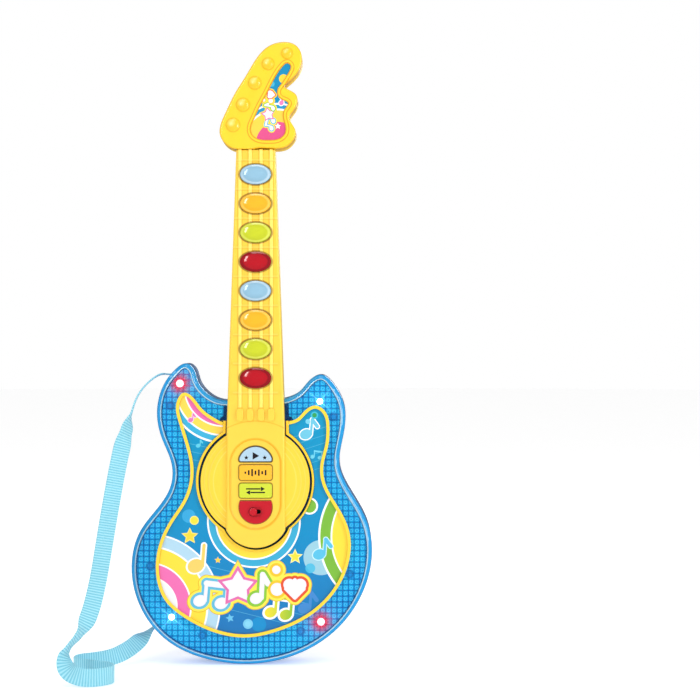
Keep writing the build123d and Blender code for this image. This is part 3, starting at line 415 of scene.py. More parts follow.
def face_art():
    skin = Surface("printed_face", srgb(5, 140, 196), roughness=0.22, mottle=0.02, grain=0.05, fixed=GLOSSY)
    flat = skin.flat
    lift = skin.ramp(skin.up, 110, 235)
    skin.colour = skin.mix(lift, skin.colour, srgb(4, 150, 196))
    fall = skin.ramp(skin.up, 115, 35)
    skin.colour = skin.mix(fall, skin.colour, srgb(27, 118, 186))
    pale_blue, sun, pink = srgb(176, 212, 232), srgb(254, 220, 62), srgb(238, 112, 178)
    leaf = srgb(123, 184, 62)
    skin.spot(6.7, 36.5, 6.5, srgb(14, 142, 204))
    staff(skin, 0.0, 62.0, 52.0, 26.0, 11.0, -14)
    rings(skin, flat, 2.2, 128.9, ((41.9, WHITE_INK), (40.4, srgb(58, 172, 212)), (34.6, WHITE_INK),
                                   (33.2, sun)))
    rings(skin, flat, -93.2, 52.5, ((65.6, WHITE_INK), (64.2, pale_blue), (54.6, WHITE_INK), (53.0, sun),
                                    (39.8, WHITE_INK), (38.4, pink), (27.2, WHITE_INK),
                                    (25.9, srgb(236, 240, 244))))
    skin.spot(62.3, 96.3, 15.7, srgb(164, 211, 223), strength=0.85)
    rings(skin, flat, 129.0, 114.8, ((69.2, WHITE_INK), (67.4, leaf), (58.2, WHITE_INK), (56.7, sun)))
    rings(skin, flat, -25.4, 248.5, ((50.0, WHITE_INK), (48.2, srgb(60, 176, 216)), (43.4, WHITE_INK),
                                     (41.9, srgb(254, 214, 84)), (35.2, WHITE_INK), (33.8, pink)))
    staff(skin, 55.0, 192.0, 22.0, 18.0, 6.7, 18)
    staff(skin, -46.0, 186.0, 12.0, 13.0, 6.7, -12)
    skin.spot(52.0, 142.4, 7.6, WHITE_INK)
    skin.spot(52.0, 142.4, 6.0, leaf)
    skin.spot(-56.0, 133.4, 6.0, srgb(52, 166, 218))
    skin.spot(-51.1, 129.6, 4.0, srgb(252, 232, 110))
    skin.spot(-51.1, 129.6, 3.1, sun)
    skin.outlined(skin.star(flat, -55.1, 115.5, 5.9), srgb(250, 212, 60), srgb(255, 228, 110), 0.8)
    skin.paint(skin.star(flat, -30.0, 94.0, 3.1), srgb(254, 206, 70))
    skin.outlined(skin.star(flat, 39.1, 97.0, 5.2), sun, srgb(255, 240, 150), 0.8)
    skin.spot(52.7, 86.8, 4.4, srgb(70, 186, 222), strength=0.9)
    note(skin, flat, 60.6, 99.1, 5.6, srgb(88, 190, 226), srgb(196, 234, 246), 0.8)
    note(skin, flat, -49.9, 88.8, 7.4, srgb(252, 206, 104), WHITE_INK, 1.3, flagged=False)
    note(skin, flat, 48.8, 206.6, 5.4, srgb(110, 196, 224), WHITE_INK, 0.9)
    skin.spot(50.6, 218.0, 2.2, srgb(120, 206, 232))
    skin.outlined(skin.disc(flat, 56.4, 223.6, 2.0), srgb(54, 160, 90), srgb(64, 190, 214), 1.3)
    skin.paint(beamed(skin, flat, 54.6, 186.4, 1.9, 6.6), srgb(110, 206, 232))
    skin.spot(-54.4, 219.4, 2.6, srgb(234, 140, 196))
    note(skin, flat, -54.4, 219.4, 2.2, srgb(222, 116, 184), srgb(250, 206, 232), 0.6)
    note(skin, flat, -47.6, 196.4, 2.0, srgb(92, 200, 226), srgb(92, 200, 226), 0.1)
    note(skin, skin.local(47.5, 50.8), 0.0, 0.0, 5.8, srgb(64, 136, 204), srgb(64, 136, 204), 0.1)
    skin.paint(skin.star(flat, -19.1, 42.1, 4.0, turn=12), srgb(104, 192, 230))
    skin.spot(-3.1, 36.9, 4.4, srgb(118, 200, 234))
    skin.spot(-3.1, 36.9, 2.6, srgb(134, 210, 238))
    notes = beamed(skin, flat, 17.1, 47.3, 5.4, 13.6)
    skin.paint(notes, WHITE_INK, grow=1.7)
    shade = skin.mix(skin.ramp(skin.across, 14.0, 38.0), srgb(238, 220, 56), srgb(136, 192, 52))
    skin.paint(notes, shade)
    motif(skin, skin.local(-1.8, 72.6, 0, 1.03))
    return skin.done()


def sticker_art():
    skin = Surface("printed_headstock", srgb(8, 142, 190), roughness=0.25, mottle=0.02, grain=0.05,
                   fixed=GLOSSY)
    flat = skin.flat
    skin.spot(18.6, 518.8, 2.5, srgb(70, 184, 214))
    rings(skin, flat, 24.0, 465.5, ((36.4, WHITE_INK), (34.8, srgb(34, 150, 198)), (31.4, WHITE_INK),
                                    (29.8, srgb(250, 210, 74)), (19.6, srgb(226, 84, 140))))
    skin.spot(29.0, 523.4, 4.0, srgb(250, 214, 62))
    skin.paint(skin.star(flat, 24.0, 481.2, 2.9), WHITE_INK)
    note(skin, skin.local(27.2, 502.0, 40), 0.0, 0.0, 2.3, srgb(238, 130, 190), WHITE_INK, 0.7)
    motif(skin, skin.local(15.0, 495.4, 83, 0.36))
    return skin.done()


# -------------------- plastics


def off_neck(skin):
    """Below zero to the left and right of the neck."""
    return skin.minus(NECK_HALF, skin.size_of(skin.minus(skin.across, NECK_X)))


def disc_gap(skin):
    """Dark line of painted shade in the gap round the disc and the foot of the panel, drawn again moved to
    the lower right as painted shadow.
    """
    flat = skin.flat
    kept = skin.either(off_neck(skin), skin.minus(skin.up, DISC_Z - 15.0))
    for shift, half_width in ((0.0, 0.8), (0.45, 0.85)):
        middle = skin.either(skin.disc(flat, DISC_X + shift, DISC_Z - shift, DISC_R + 0.5),
                             skin.disc(flat, NECK_X + shift, FOOT_Z - shift, FOOT_R))
        skin.paint(skin.both(skin.ring(middle, half_width), kept), srgb(24, 58, 24))


def bar_shape(skin, span, side=0.0, corner=2.4):
    """Button between two heights, with side added all round."""
    low, high = span
    half = (high - low) / 2 + side
    return skin.block(skin.flat, NECK_X, (low + high) / 2, CONTROL_HALF_W + side, half, corner)


def arch_radius(rise):
    """Radius of the arc that rises this far over the width of a button."""
    return (CONTROL_HALF_W ** 2 + rise ** 2) / (2 * rise)


def demo_shape(skin, side=0.0):
    """Half dome: an arch over a flat foot."""
    low, high = DEMO_Z
    radius = arch_radius(high - low - DEMO_SHOULDER)
    arch = skin.disc(skin.flat, NECK_X, high - radius, radius + side)
    return skin.both(arch, bar_shape(skin, DEMO_Z, side, SHOULDER_ROUND))


def switch_shape(skin, side=0.0):
    """Round-bottomed plate of the power switch."""
    low, high = SWITCH_Z
    radius = arch_radius(high - low - SWITCH_SHOULDER)
    bowl = skin.disc(skin.flat, NECK_X, low + radius, radius + side)
    return skin.both(bowl, bar_shape(skin, SWITCH_Z, side, SHOULDER_ROUND))


def neck_plastic():
    skin = Surface("yellow_neck", srgb(248, 208, 66), roughness=0.34, mottle=0.03, fixed=SATIN)
    flat = skin.flat
    middle_z, half_z = (STRINGS_LOW_Z + NUT_Z) / 2, (NUT_Z - STRINGS_LOW_Z) / 2
    for side in STRING_SIDES:
        lane = skin.block(flat, NECK_X + side, middle_z, 2.3, half_z)
        # painted shade along each string's edges, and a painted highlight on its crown
        skin.paint(lane, srgb(238, 178, 36), blur=0.35, strength=0.6)
        skin.paint(lane, srgb(255, 230, 104), grow=-0.8, blur=0.25)
    for index in range(-1, NOTE_COUNT):
        z = NOTE_LOW_Z + (index + 0.5) * NOTE_PITCH
        # painted highlight along each fret, and painted shade just below it
        fret_highlight = skin.block(flat, NECK_X, z, FRET_HALF_W, 0.9)
        skin.paint(fret_highlight, srgb(255, 226, 110), blur=0.3, strength=0.35)
        shade = skin.block(flat, NECK_X, z - 1.2, FRET_HALF_W, 0.4)
        skin.paint(shade, srgb(226, 162, 30), blur=0.3, strength=0.35)
    for index in range(NOTE_COUNT):
        # painted shade in the gap round each note button
        mouth = skin.oval(flat, NECK_X, NOTE_LOW_Z + index * NOTE_PITCH, 14.6, 9.75)
        skin.paint(skin.ring(mouth, 0.6), srgb(150, 100, 16), blur=0.3, strength=0.75)
    low, high = STADIUM_Z
    stadium = skin.block(flat, NECK_X, (low + high) / 2, STADIUM_R + 0.2, (high - low) / 2, STADIUM_R)
    # painted shade round the edge of the stadium recess
    skin.paint(skin.ring(stadium, 0.9), srgb(244, 170, 12), blur=0.5, strength=0.8)
    # painted shade line along the top edge of the panel
    top_line = skin.ring(skin.disc(flat, NECK_X, DISC_Z - 0.1, PANEL_TOP_R), 0.45)
    above = skin.minus(PANEL_TOP_Z, skin.up)
    skin.paint(skin.both(top_line, above), srgb(240, 172, 20), blur=0.3, strength=0.7)
    disc = skin.disc(flat, DISC_X, DISC_Z, 0.0)
    beside = off_neck(skin)
    wings = skin.both(skin.minus(disc, DISC_R), beside)
    skin.paint(wings, srgb(252, 210, 56))
    # painted highlights on the disc's concentric rings beside the neck
    for radius in (37.0, 41.2, 45.2):
        arc = skin.both(skin.ring(skin.minus(disc, radius), 0.35), beside)
        skin.paint(arc, srgb(255, 228, 110), blur=0.3, strength=0.7)
    # painted shade in the gaps round the panel buttons and the switch plate
    for mouth in (bar_shape(skin, RHYTHM_Z, 0.4), bar_shape(skin, CHANGE_Z, 0.4)):
        skin.paint(skin.ring(mouth, 0.5), srgb(150, 104, 16), blur=0.2, strength=0.8)
    skin.paint(skin.ring(demo_shape(skin, 0.4), 0.6), srgb(112, 74, 14), blur=0.2, strength=0.9)
    skin.paint(skin.ring(switch_shape(skin, 0.2), 0.5), srgb(120, 40, 14), blur=0.2, strength=0.9)
    disc_gap(skin)
    return skin.done()


def headstock_plastic():
    """Yellow cover with painted orange shade round its pegs and low down on its edge, and a painted highlight
    on each peg.
    """
    skin = Surface("yellow_headstock", srgb(249, 212, 42), roughness=0.3, mottle=0.03, fixed=GLOSSY)
    # painted orange shade on the side walls behind the face
    skin.paint(skin.minus(HEAD_FACE_Y + 0.7, skin.depth), srgb(238, 172, 22), blur=0.5, strength=0.75)
    for x, z, radius in PEGS:
        peg = skin.disc(skin.flat, x, z, radius)
        shade = skin.disc(skin.flat, x + 1.1, z - 1.3, radius - 0.4)
        # painted shade at each peg's foot and on its lower right, and a painted highlight at its upper left
        skin.paint(skin.ring(peg, 0.4), srgb(232, 160, 20), blur=0.5, strength=0.6)
        skin.paint(skin.both(peg, shade), srgb(242, 188, 28), grow=-0.8, blur=1.4, strength=0.55)
        skin.spot(x - 1.4, z + 1.6, radius - 3.4, srgb(255, 240, 140), blur=1.2, strength=0.6)
    return skin.done()


def panel_button(name, colour, draw, edge=None):
    skin = Surface(name, colour, roughness=0.2, mottle=0.03, fixed=GLOSSY)
    if edge is not None:
        # painted shade round the button's edge
        skin.paint(skin.ring(edge(skin), 0.45), srgb(44, 48, 58), blur=0.2, strength=0.85)
    skin.paint(draw(skin), BLACK_INK, blur=0.08)
    return skin.done()


def play_mark(skin):
    """Play triangle between two small stars."""
    flat = skin.flat
    stars = [skin.star(flat, NECK_X + side, PLAY_MARK_Z - 1.6, 2.1) for side in (-8.2, 8.2)]
    return skin.either(skin.wedge(flat, NECK_X - 0.6, PLAY_MARK_Z, 3.9), *stars)


def rhythm_mark(skin):
    """Row of level bars."""
    pitch, heights = 3.0, (1.0, 2.2, 3.2, 1.8, 2.8, 1.4, 2.4)
    return skin.either(*(
        skin.block(skin.flat, NECK_X + (k - len(heights) // 2) * pitch, sum(RHYTHM_Z) / 2, 0.75, height, 0.3)
        for k, height in enumerate(heights)))


def change_mark(skin):
    """Two arrows, one each way."""
    shapes = []
    for way, z, turn in ((1, ARROW_Z[0], 0), (-1, ARROW_Z[1], 180)):
        shapes.append(skin.bar(skin.flat, NECK_X - 8.0 * way, z, NECK_X + 4.0 * way, z, 0.6))
        shapes.append(skin.wedge(skin.flat, NECK_X + 6.0 * way, z, 2.4, turn))
    return skin.either(*shapes)


def note_plastic(name, colour, rim):
    """Glossy button, lighter inside a darker edge, drawn once for all eight places."""
    skin = Surface(name, colour, roughness=0.14, mottle=0.04, grain=0.05,
                   fixed={"Coat Weight": 1.0, "Coat Roughness": 0.03})
    row = skin.plus(skin.up, NOTE_PITCH / 2 - NOTE_LOW_Z)
    where = skin.join(skin.across, skin.wrapped(row, NOTE_PITCH), 0.0)
    shape = skin.oval(where, NECK_X, 0.0, 13.7, 8.85)
    skin.paint(skin.ring(skin.plus(shape, 1.1), 0.7), rim, blur=0.5, strength=0.8)
    gleam = skin.oval(where, NECK_X - 1.0, 0.9, 9.6, 5.2)
    skin.paint(gleam, scaled(colour, 1.14), blur=1.6, strength=0.7)
    return skin.done()


def bead_plastic(name, colour, roughness, foot, foot_shade_colour, gapped=False):
    """Yellow bead: bright crown, with painted orange shade at its foot."""
    skin = Surface(name, colour, roughness, mottle=0.03, fixed=GLOSSY)
    skin.colour = skin.mix(skin.ramp(skin.depth, *foot), skin.colour, foot_shade_colour)
    if gapped:
        disc_gap(skin)
    return skin.done()


# how far the moulding is turned from its face, 0 to 1: rim, wall, and the painted reflection streak on the
# rim
RIM_TURN = 0.001, 0.05
WALL_TURN = 0.55, 1.0
STREAK_TURN, STREAK_HALF, STREAK_BLUR = 0.045, 0.028, 0.012
# how much it hides: in front, more on the rim, more on the wall, and on the streak
FACE_COVER, RIM_COVER, WALL_COVER, STREAK_COVER = 0.04, 0.70, 0.16, 0.6
CLEAR_TINT = (0.86, 0.98, 1.0, 1.0)


def clear_plastic():
    """Clear blue moulding: nearly see-through in front, deeper in colour where its wall is seen edge-on."""
    skin = Surface("clear_blue", srgb(0, 146, 214), roughness=0.12, mottle=0.03, grain=0.02)
    _, facing, _ = skin.split(skin.node("ShaderNodeTexCoord").outputs["Normal"])
    turned = skin.minus(1.0, skin.size_of(facing))
    rim, wall = skin.ramp(turned, *RIM_TURN), skin.ramp(turned, *WALL_TURN)
    reflection_streak = skin.inside(skin.ring(skin.minus(turned, STREAK_TURN), STREAK_HALF), blur=STREAK_BLUR)
    # the rim is painted lighter and given a faint glow of its own as painted light; the streak is a painted
    # reflection
    for share, colour in ((rim, (44, 168, 232)), (wall, (16, 132, 216)), (reflection_streak, (205, 240, 252))):
        skin.colour = skin.mix(share, skin.colour, srgb(*colour))
    cover = skin.math("MULTIPLY_ADD", rim, RIM_COVER, FACE_COVER)
    cover = skin.math("MULTIPLY_ADD", wall, WALL_COVER, cover)
    cover = skin.math("MAXIMUM", skin.times(reflection_streak, STREAK_COVER), cover)
    skin.light(skin.times(rim, 0.12), srgb(20, 150, 224))
    material = skin.done()
    clear = skin.node("ShaderNodeBsdfTransparent")
    clear.inputs["Color"].default_value = CLEAR_TINT
    body = skin.blend(cover, clear.outputs[0], skin.shader.outputs[0])
    gloss = skin.node("ShaderNodeBsdfGlossy")
    gloss.inputs["Roughness"].default_value = 0.07
    slant = skin.node("ShaderNodeLayerWeight")
    slant.inputs["Blend"].default_value = 0.5
    shine = skin.math("MULTIPLY_ADD", skin.math("POWER", slant.outputs["Facing"], 5.0), 0.9, 0.04)
    skin.show(skin.blend(shine, body, gloss.outputs[0]))
    return material


# painted glow of each lamp on the cells: halo's colour, core's radius, halo's reach and strength, and its
# beams' number, sharpness and reach
RED_GLOW = srgb(240, 16, 40), 2.7, 4.6, 1.5, 11, 5.0, 3.6
WHITE_GLOW = srgb(150, 214, 255), 1.7, 2.6, 1.2, 4, 90.0, 5.0
BEAM_STRENGTH = 2.4
CORE_STRENGTH = 4.0
LAMP_STRENGTH = 9.0


def cell_plastic():
    """Sheet of light cells: lit crowns, painted shade in the grooves and dimples, a painted highlight ring,
    their own painted glow, and the painted glow of the lamps.
    """
    skin = Surface("light_cells", srgb(6, 122, 214), roughness=0.3, mottle=0.06, grain=0.1, fixed=SATIN)
    spot = skin.join(skin.wrapped(skin.across, CELL_PITCH), skin.wrapped(skin.up, CELL_PITCH), 0.0)
    patch = skin.ramp(skin.noise(38.0, detail=2), 0.36, 0.66)
    bright = skin.mix(patch, srgb(0, 156, 218), srgb(16, 192, 228))
    groove_shade = skin.mix(patch, srgb(0, 88, 176), srgb(4, 122, 196))
    skin.colour = groove_shade
    # crowns painted brighter than the grooves: painted light and shade
    crown = skin.block(spot, 0, 0, 2.15, 2.15, 0.9)
    skin.paint(crown, bright, blur=0.25)
    # painted highlight ring round each dimple, and painted shade in the dimple
    skin.paint(skin.ring(skin.disc(spot, 0, 0, 1.15), 0.3), srgb(132, 220, 242), blur=0.2, strength=0.7)
    skin.paint(skin.disc(spot, 0, 0, 0.7), srgb(10, 132, 208), blur=0.3, strength=0.8)
    for x, z in BODY_SCREWS:
        skin.spot(x, z, 4.2, srgb(8, 112, 190), blur=0.6)
        skin.paint(skin.ring(skin.disc(skin.flat, x, z, 2.7), 0.6), srgb(6, 74, 152), blur=0.4)
    # the cells glow of their own, more on the crowns: painted light
    lit = skin.math("MULTIPLY_ADD", skin.inside(crown, blur=0.25), 0.26, 0.10)
    for name, x, z in LAMPS:
        if "red" in name:
            clear_of_it = skin.ramp(skin.away(skin.flat, x, z), 4.0, 11.0)
            lit = skin.times(lit, clear_of_it)
    skin.light(lit, srgb(0, 172, 224))
    for name, x, z in LAMPS:
        red = "red" in name
        halo, core_radius, reach, strength, beams, sharpness, beam_reach = RED_GLOW if red else WHITE_GLOW
        away = skin.away(skin.flat, x, z)
        core = skin.inside(away, core_radius, blur=1.0)
        spread = skin.math("EXPONENT", skin.times(away, -1 / reach))
        if red:
            # painted red light round each red lamp
            skin.paint(away, srgb(206, 24, 52), grow=8.2, blur=3.2, strength=0.95)
        skin.light(skin.times(spread, strength), halo)
        right, top, _ = skin.split(skin.local(x, z, 50))
        angle = skin.math("ARCTAN2", top, right)
        turn = skin.math("COSINE", skin.times(angle, beams / 2))
        ray = skin.math("POWER", skin.size_of(turn), sharpness)
        fade = skin.math("EXPONENT", skin.times(away, -1 / beam_reach))
        skin.light(skin.times(skin.times(ray, fade), BEAM_STRENGTH), halo)
        skin.light(skin.times(core, CORE_STRENGTH), WHITE_INK)
    return skin.done()


METAL = {"Metallic": 1.0}
# colour, roughness, mottle, grain, size of the grain and fixed settings of each finish without print
PLAIN = {
    "blue_shell": ((16, 112, 196), 0.3, 0.04, 0.5, 0.3, GLOSSY),
    "yellow_back": ((250, 208, 60), 0.36, 0.04, 0.4, 0.4, SATIN),
    "red_switch": ((196, 20, 38), 0.18, 0.05, 0.1, 0.4, GLOSSY),
    "silicone": ((226, 226, 220), 0.62, 0.03, 0.5, 0.4, {}),
    "solder_resist": ((28, 96, 52), 0.4, 0.12, 0.5, 0.4, SATIN),
    "black_plastic": ((38, 38, 42), 0.5, 0.08, 0.6, 0.4, {}),
    "white_plastic": ((236, 236, 232), 0.4, 0.03, 0.2, 0.4, {}),
    "pressed_paper": ((52, 50, 50), 0.85, 0.2, 1.6, 0.4, {}),
    "cell_sleeve": ((206, 128, 34), 0.3, 0.05, 0.2, 0.4, GLOSSY),
    "wire_vinyl": ((190, 36, 34), 0.5, 0.06, 0.2, 0.4, {}),
    "zinc_steel": ((198, 198, 202), 0.3, 0.08, 0.4, 0.4, METAL),
}


def plain(name, *nodes):
    """Finish without any print, worn by these nodes."""
    colour, *finish = PLAIN[name]
    wear(Surface(name, srgb(*colour), *finish).done(), *nodes)


def lamp_material(name, colour):
    lit = {**GLOSSY, "Emission Color": colour, "Emission Strength": LAMP_STRENGTH}
    return Surface(name, colour, roughness=0.1, mottle=0.02, grain=0.0, fixed=lit).done()


# -------------------- pieces

WELD = 1e-6
FRONT_MARGIN = 1e-5
FLAT_ANGLE = radians(0.5)
SHARP_ANGLE = radians(35)
# near and far edge of each painted shade line round the sticker, out from its outline
BORDER_SHADE_LINES = ((0.25, 0.95), (2.85, 3.5))
BORDER_BACK_Y, BORDER_FRONT_Y = HEAD_FACE_Y + 0.1, HEAD_FACE_Y - 0.05


def placed(name, data):
    """New object in the scene."""
    made = bpy.data.objects.new(name, data)
    bpy.context.scene.collection.objects.link(made)
    return made


def add_piece(name, mesh, material, body="guitar", smooth_angle=40):
    piece = placed(name, mesh)
    mesh.materials.clear()
    mesh.materials.append(material)
    mesh.shade_smooth()
    mesh.set_sharp_from_angle(angle=radians(smooth_angle))
    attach(piece, body)
    return piece


def opened(node):
    """Mesh of a CAD node, open for building, with its points joined."""
    build = bmesh.new()
    build.from_mesh(NODES[node].data)
    bmesh.ops.remove_doubles(build, verts=build.verts, dist=WELD)
    return build


def closed(build, name):
    """The built mesh, under this name."""
    mesh = bpy.data.meshes.new(name)
    build.to_mesh(mesh)
    build.free()
    return mesh


def bridge(build, first, second):
    """Faces between two closed loops of as many points."""
    turned = first[1:] + first[:1], second[1:] + second[:1]
    return [build.faces.new(corners) for corners in zip(first, turned[0], turned[1], second)]


def softened(node, name, width, material):
    """Copy of a CAD node with its sharp edges rounded."""
    build = opened(node)
    bmesh.ops.dissolve_limit(build, angle_limit=FLAT_ANGLE, verts=build.verts, edges=build.edges)
    sharp = [edge for edge in build.edges
             if len(edge.link_faces) == 2 and edge.calc_face_angle() > SHARP_ANGLE]
    bmesh.ops.bevel(build, geom=sharp, offset=width * MM, segments=3, profile=0.5, affect="EDGES",
                    clamp_overlap=True)
    bmesh.ops.triangulate(build, faces=[face for face in build.faces if len(face.verts) > 4])
    piece = add_piece(name, closed(build, name), material)
    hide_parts(node)


def outline_points(node):
    """Points round the front face of a flat CAD piece, in order, in millimetres."""
    build = opened(node)
    front = min(v.co.y for v in build.verts) + FRONT_MARGIN
    rim = [edge for edge in build.edges if all(v.co.y < front for v in edge.verts)
           and any(max(v.co.y for v in face.verts) > front for face in edge.link_faces)]
    here, around = rim[0].verts[0], []
    left = set(rim)
    while left:
        edge = next((e for e in here.link_edges if e in left), None)
        if edge is None:
            break
        left.discard(edge)
        around.append((here.co.x / MM, here.co.z / MM))
        here = edge.other_vert(here)
    build.free()
    return around


def sticker_border_shade():
    """Two thin orange strips along the foot of the raised border round the sticker, as painted shade of its
    walls.
    """
    around = outline_points("headstock_sticker")
    area = sum(a[0] * b[1] - b[0] * a[1] for a, b in zip(around, around[1:] + around[:1]))
    side = 1 if area > 0 else -1
    build = bmesh.new()
    for near, far in BORDER_SHADE_LINES:
        rows = []
        for k, (x, z) in enumerate(around):
            before, after = around[k - 1], around[(k + 1) % len(around)]
            along = Vector((after[0] - before[0], after[1] - before[1])).normalized() * side
            rows.append([build.verts.new(((x + along.y * out) * MM, y * MM, (z - along.x * out) * MM))
                         for out, y in ((near, BORDER_BACK_Y), (near, BORDER_FRONT_Y),
                                        (far, BORDER_FRONT_Y), (far, BORDER_BACK_Y))])
        for first, second in zip(rows, rows[1:] + rows[:1]):
            bridge(build, first, second)
    bmesh.ops.recalc_face_normals(build, faces=build.faces)
    line = Surface("orange_shade_line", srgb(236, 158, 22), roughness=0.35, mottle=0.03, fixed=SATIN)
    add_piece("sticker_border_shade", closed(build, "sticker_border_shade"), line.done())


CELL_HALF = 2.3
CELL_BASE_Y = -10.45
CELL_CROWN_Y = -11.05
SCREW_HOLE_R = 3.72
PLUG_DEPTH = 0.5


def cell_rings():
    """Half width, roundness and depth of a cell's rings, from its foot to the dimple."""
    return ((CELL_HALF, 0.35, CELL_BASE_Y), (2.1, 0.4, CELL_BASE_Y - 0.35), (1.75, 0.55, CELL_CROWN_Y),
            (1.15, 1.0, CELL_CROWN_Y), (0.7, 1.0, CELL_CROWN_Y + 0.3))


def cell_outline(half, roundness, sides=16):
    """Square whose corners are rounded: roundness 0 is a square, 1 a circle."""
    points = []
    for k in range(sides):
        angle = 2 * pi * (k + 0.5) / sides
        stretch = 1 / max(abs(cos(angle)), abs(sin(angle)))
        reach = half * (roundness + (1 - roundness) * min(stretch, 1.32))
        points.append((reach * cos(angle), reach * sin(angle)))
    return points


def add_plug(build, x, z, radius, front, back, sides=24):
    """Flat round plug along Y."""
    turns = [2 * pi * k / sides for k in range(sides)]
    near, far = ([build.verts.new(((x + radius * cos(turn)) * MM, y * MM, (z + radius * sin(turn)) * MM))
                  for turn in turns] for y in (front, back))
    build.faces.new(near)
    build.faces.new(reversed(far))
    bridge(build, far, near)


def light_cells():
    """Sheet of moulded cells in place of the plain diffuser, each cell a raised square with a dimple."""
    sheet = NODES["light_diffuser"]
    low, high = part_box("light_diffuser")
    build = bmesh.new()
    build.from_mesh(sheet.data)
    front = min(v.co.y for v in build.verts)
    for vertex in build.verts:
        if abs(vertex.co.y - front) < FRONT_MARGIN:
            vertex.co.y = CELL_BASE_Y * MM
    tree = BVHTree.FromObject(sheet, bpy.context.evaluated_depsgraph_get())
    pitch = CELL_PITCH * MM
    half = CELL_HALF * MM
    start, inward = Vector((0, -1, 0)), Vector((0, 1, 0))
    for column in range(int(low.x // pitch), int(high.x // pitch) + 1):
        for row in range(int(low.z // pitch), int(high.z // pitch) + 1):
            x, z = (column + 0.5) * pitch, (row + 0.5) * pitch
            probes = [(x, z)] + [(x + a, z + b) for a in (-half, half) for b in (-half, half)]
            if any(tree.ray_cast(start + Vector((a, 0, b)), inward)[0] is None for a, b in probes):
                continue
            loops = []
            for size, roundness, y in cell_rings():
                loops.append([build.verts.new((x + a * MM, y * MM, z + b * MM))
                              for a, b in cell_outline(size, roundness)])
            for outer, inner in zip(loops, loops[1:]):
                bridge(build, outer, inner)
            build.faces.new(loops[-1])
    for x, z in BODY_SCREWS:
        add_plug(build, x, z, SCREW_HOLE_R, CELL_BASE_Y, CELL_BASE_Y + PLUG_DEPTH)
    cells = closed(build, "light_cells")
    piece = add_piece("light_cells", cells, cell_plastic(), smooth_angle=60)
    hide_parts("light_diffuser")


# -------------------- strap

WEB_WIDTH = 15.0
WEB_HALF_T = 0.7
RIB_PITCH = 2.2
RIB_HEIGHT = 0.2
RIB_ROWS = 4

# the strap's route, as in the part
STRAP_ROUTE = (
    (-68.2, 9.0, 258.9), (-76.5, 8.5, 260.2), (-84.5, 4.0, 260.0), (-91.9, -5.0, 254.5),
    (-98.3, -14.0, 246.5), (-102.5, -22.0, 237.4), (-105.0, -28.0, 226.6), (-108.5, -33.0, 211.5),
    (-112.6, -38.5, 194.0), (-117.8, -45.0, 162.0), (-122.9, -54.0, 124.5), (-128.1, -64.0, 82.5),
    (-133.8, -72.0, 55.5), (-141.3, -78.0, 40.0), (-149.0, -82.5, 32.4), (-153.0, -87.0, 23.5),
    (-149.5, -93.0, 13.5), (-140.0, -96.0, 8.6), (-127.5, -95.5, 7.7), (-116.0, -90.0, 8.0),
    (-110.8, -80.0, 7.7), (-116.5, -69.5, 8.0), (-130.0, -62.0, 7.7), (-144.5, -57.0, 8.0),
    (-153.0, -48.5, 7.7), (-150.5, -38.0, 8.0), (-139.0, -31.0, 7.7), (-126.5, -25.5, 8.6),
    (-115.0, -18.0, 11.5), (-104.5, -9.0, 17.5), (-96.0, 1.5, 25.8), (-89.0, 8.5, 31.0),
    (-80.4, 9.0, 36.0),
)
# where the webbing's width points, at points of the route counted from its start
STRAP_TWIST = (
    (0, (0, 1, 0)), (4, (-0.1, 1, 0)), (6, (-0.1, 1, 0)), (7, (0.55, 0.8, 0)), (8, (1, 0.3, 0)),
    (11, (1, 0, -0.1)), (12, (1, 0.3, -0.2)), (13, (0.3, 1, -0.2)), (15, (0.35, 0.8, 0.5)), (17, (0, 0.1, 1)),
    (27, (0, 0, 1)), (29, (0, 0.6, 0.8)), (31, (0, 1, 0)), (32, (0, 1, 0)),
)


def spline_points(points):
    """Points along the smooth route that these control points give, in metres."""
    curve = bpy.data.curves.new("strap_route", "CURVE")
    curve.dimensions = "3D"
    spline = curve.splines.new("NURBS")
    spline.points.add(len(points) - 1)
    for knot, point in zip(spline.points, points):
        knot.co = [c * MM for c in point] + [1.0]
    spline.order_u = 3
    spline.use_endpoint_u = True
    spline.resolution_u = 24
    holder = placed("strap_route", curve)
    bpy.context.view_layer.update()
    mesh = bpy.data.meshes.new_from_object(holder)
    found = [v.co.copy() for v in mesh.vertices]
    bpy.data.objects.remove(holder)
    return found


def evenly(points, step):
    """The same line as points a step apart."""
    spaced = [points[0]]
    left = step
    for start, end in zip(points, points[1:]):
        length = (end - start).length
        done = 0.0
        while length - done >= left:
            done += left
            spaced.append(start.lerp(end, done / length))
            left = step
        left -= length - done
    spaced.append(points[-1])
    return spaced


def width_directions(centres):
    """Unit width vector at each centre, between the listed directions."""
    marks = []
    for index, direction in STRAP_TWIST:
        knot = Vector(STRAP_ROUTE[index]) * MM
        near = min(range(len(centres)), key=lambda k: (centres[k] - knot).length)
        marks.append((near, Vector(direction).normalized()))
    widths = []
    for k in range(len(centres)):
        before = max((m for m in marks if m[0] <= k), key=lambda m: m[0], default=marks[0])
        after = min((m for m in marks if m[0] >= k), key=lambda m: m[0], default=marks[-1])
        share = (k - before[0]) / max(after[0] - before[0], 1)
        share = share * share * (3 - 2 * share)
        direction = before[1].lerp(after[1], share)
        tangent = (centres[min(k + 1, len(centres) - 1)] - centres[max(k - 1, 0)]).normalized()
        widths.append(((direction - tangent * direction.dot(tangent)).normalized(), tangent))
    return widths


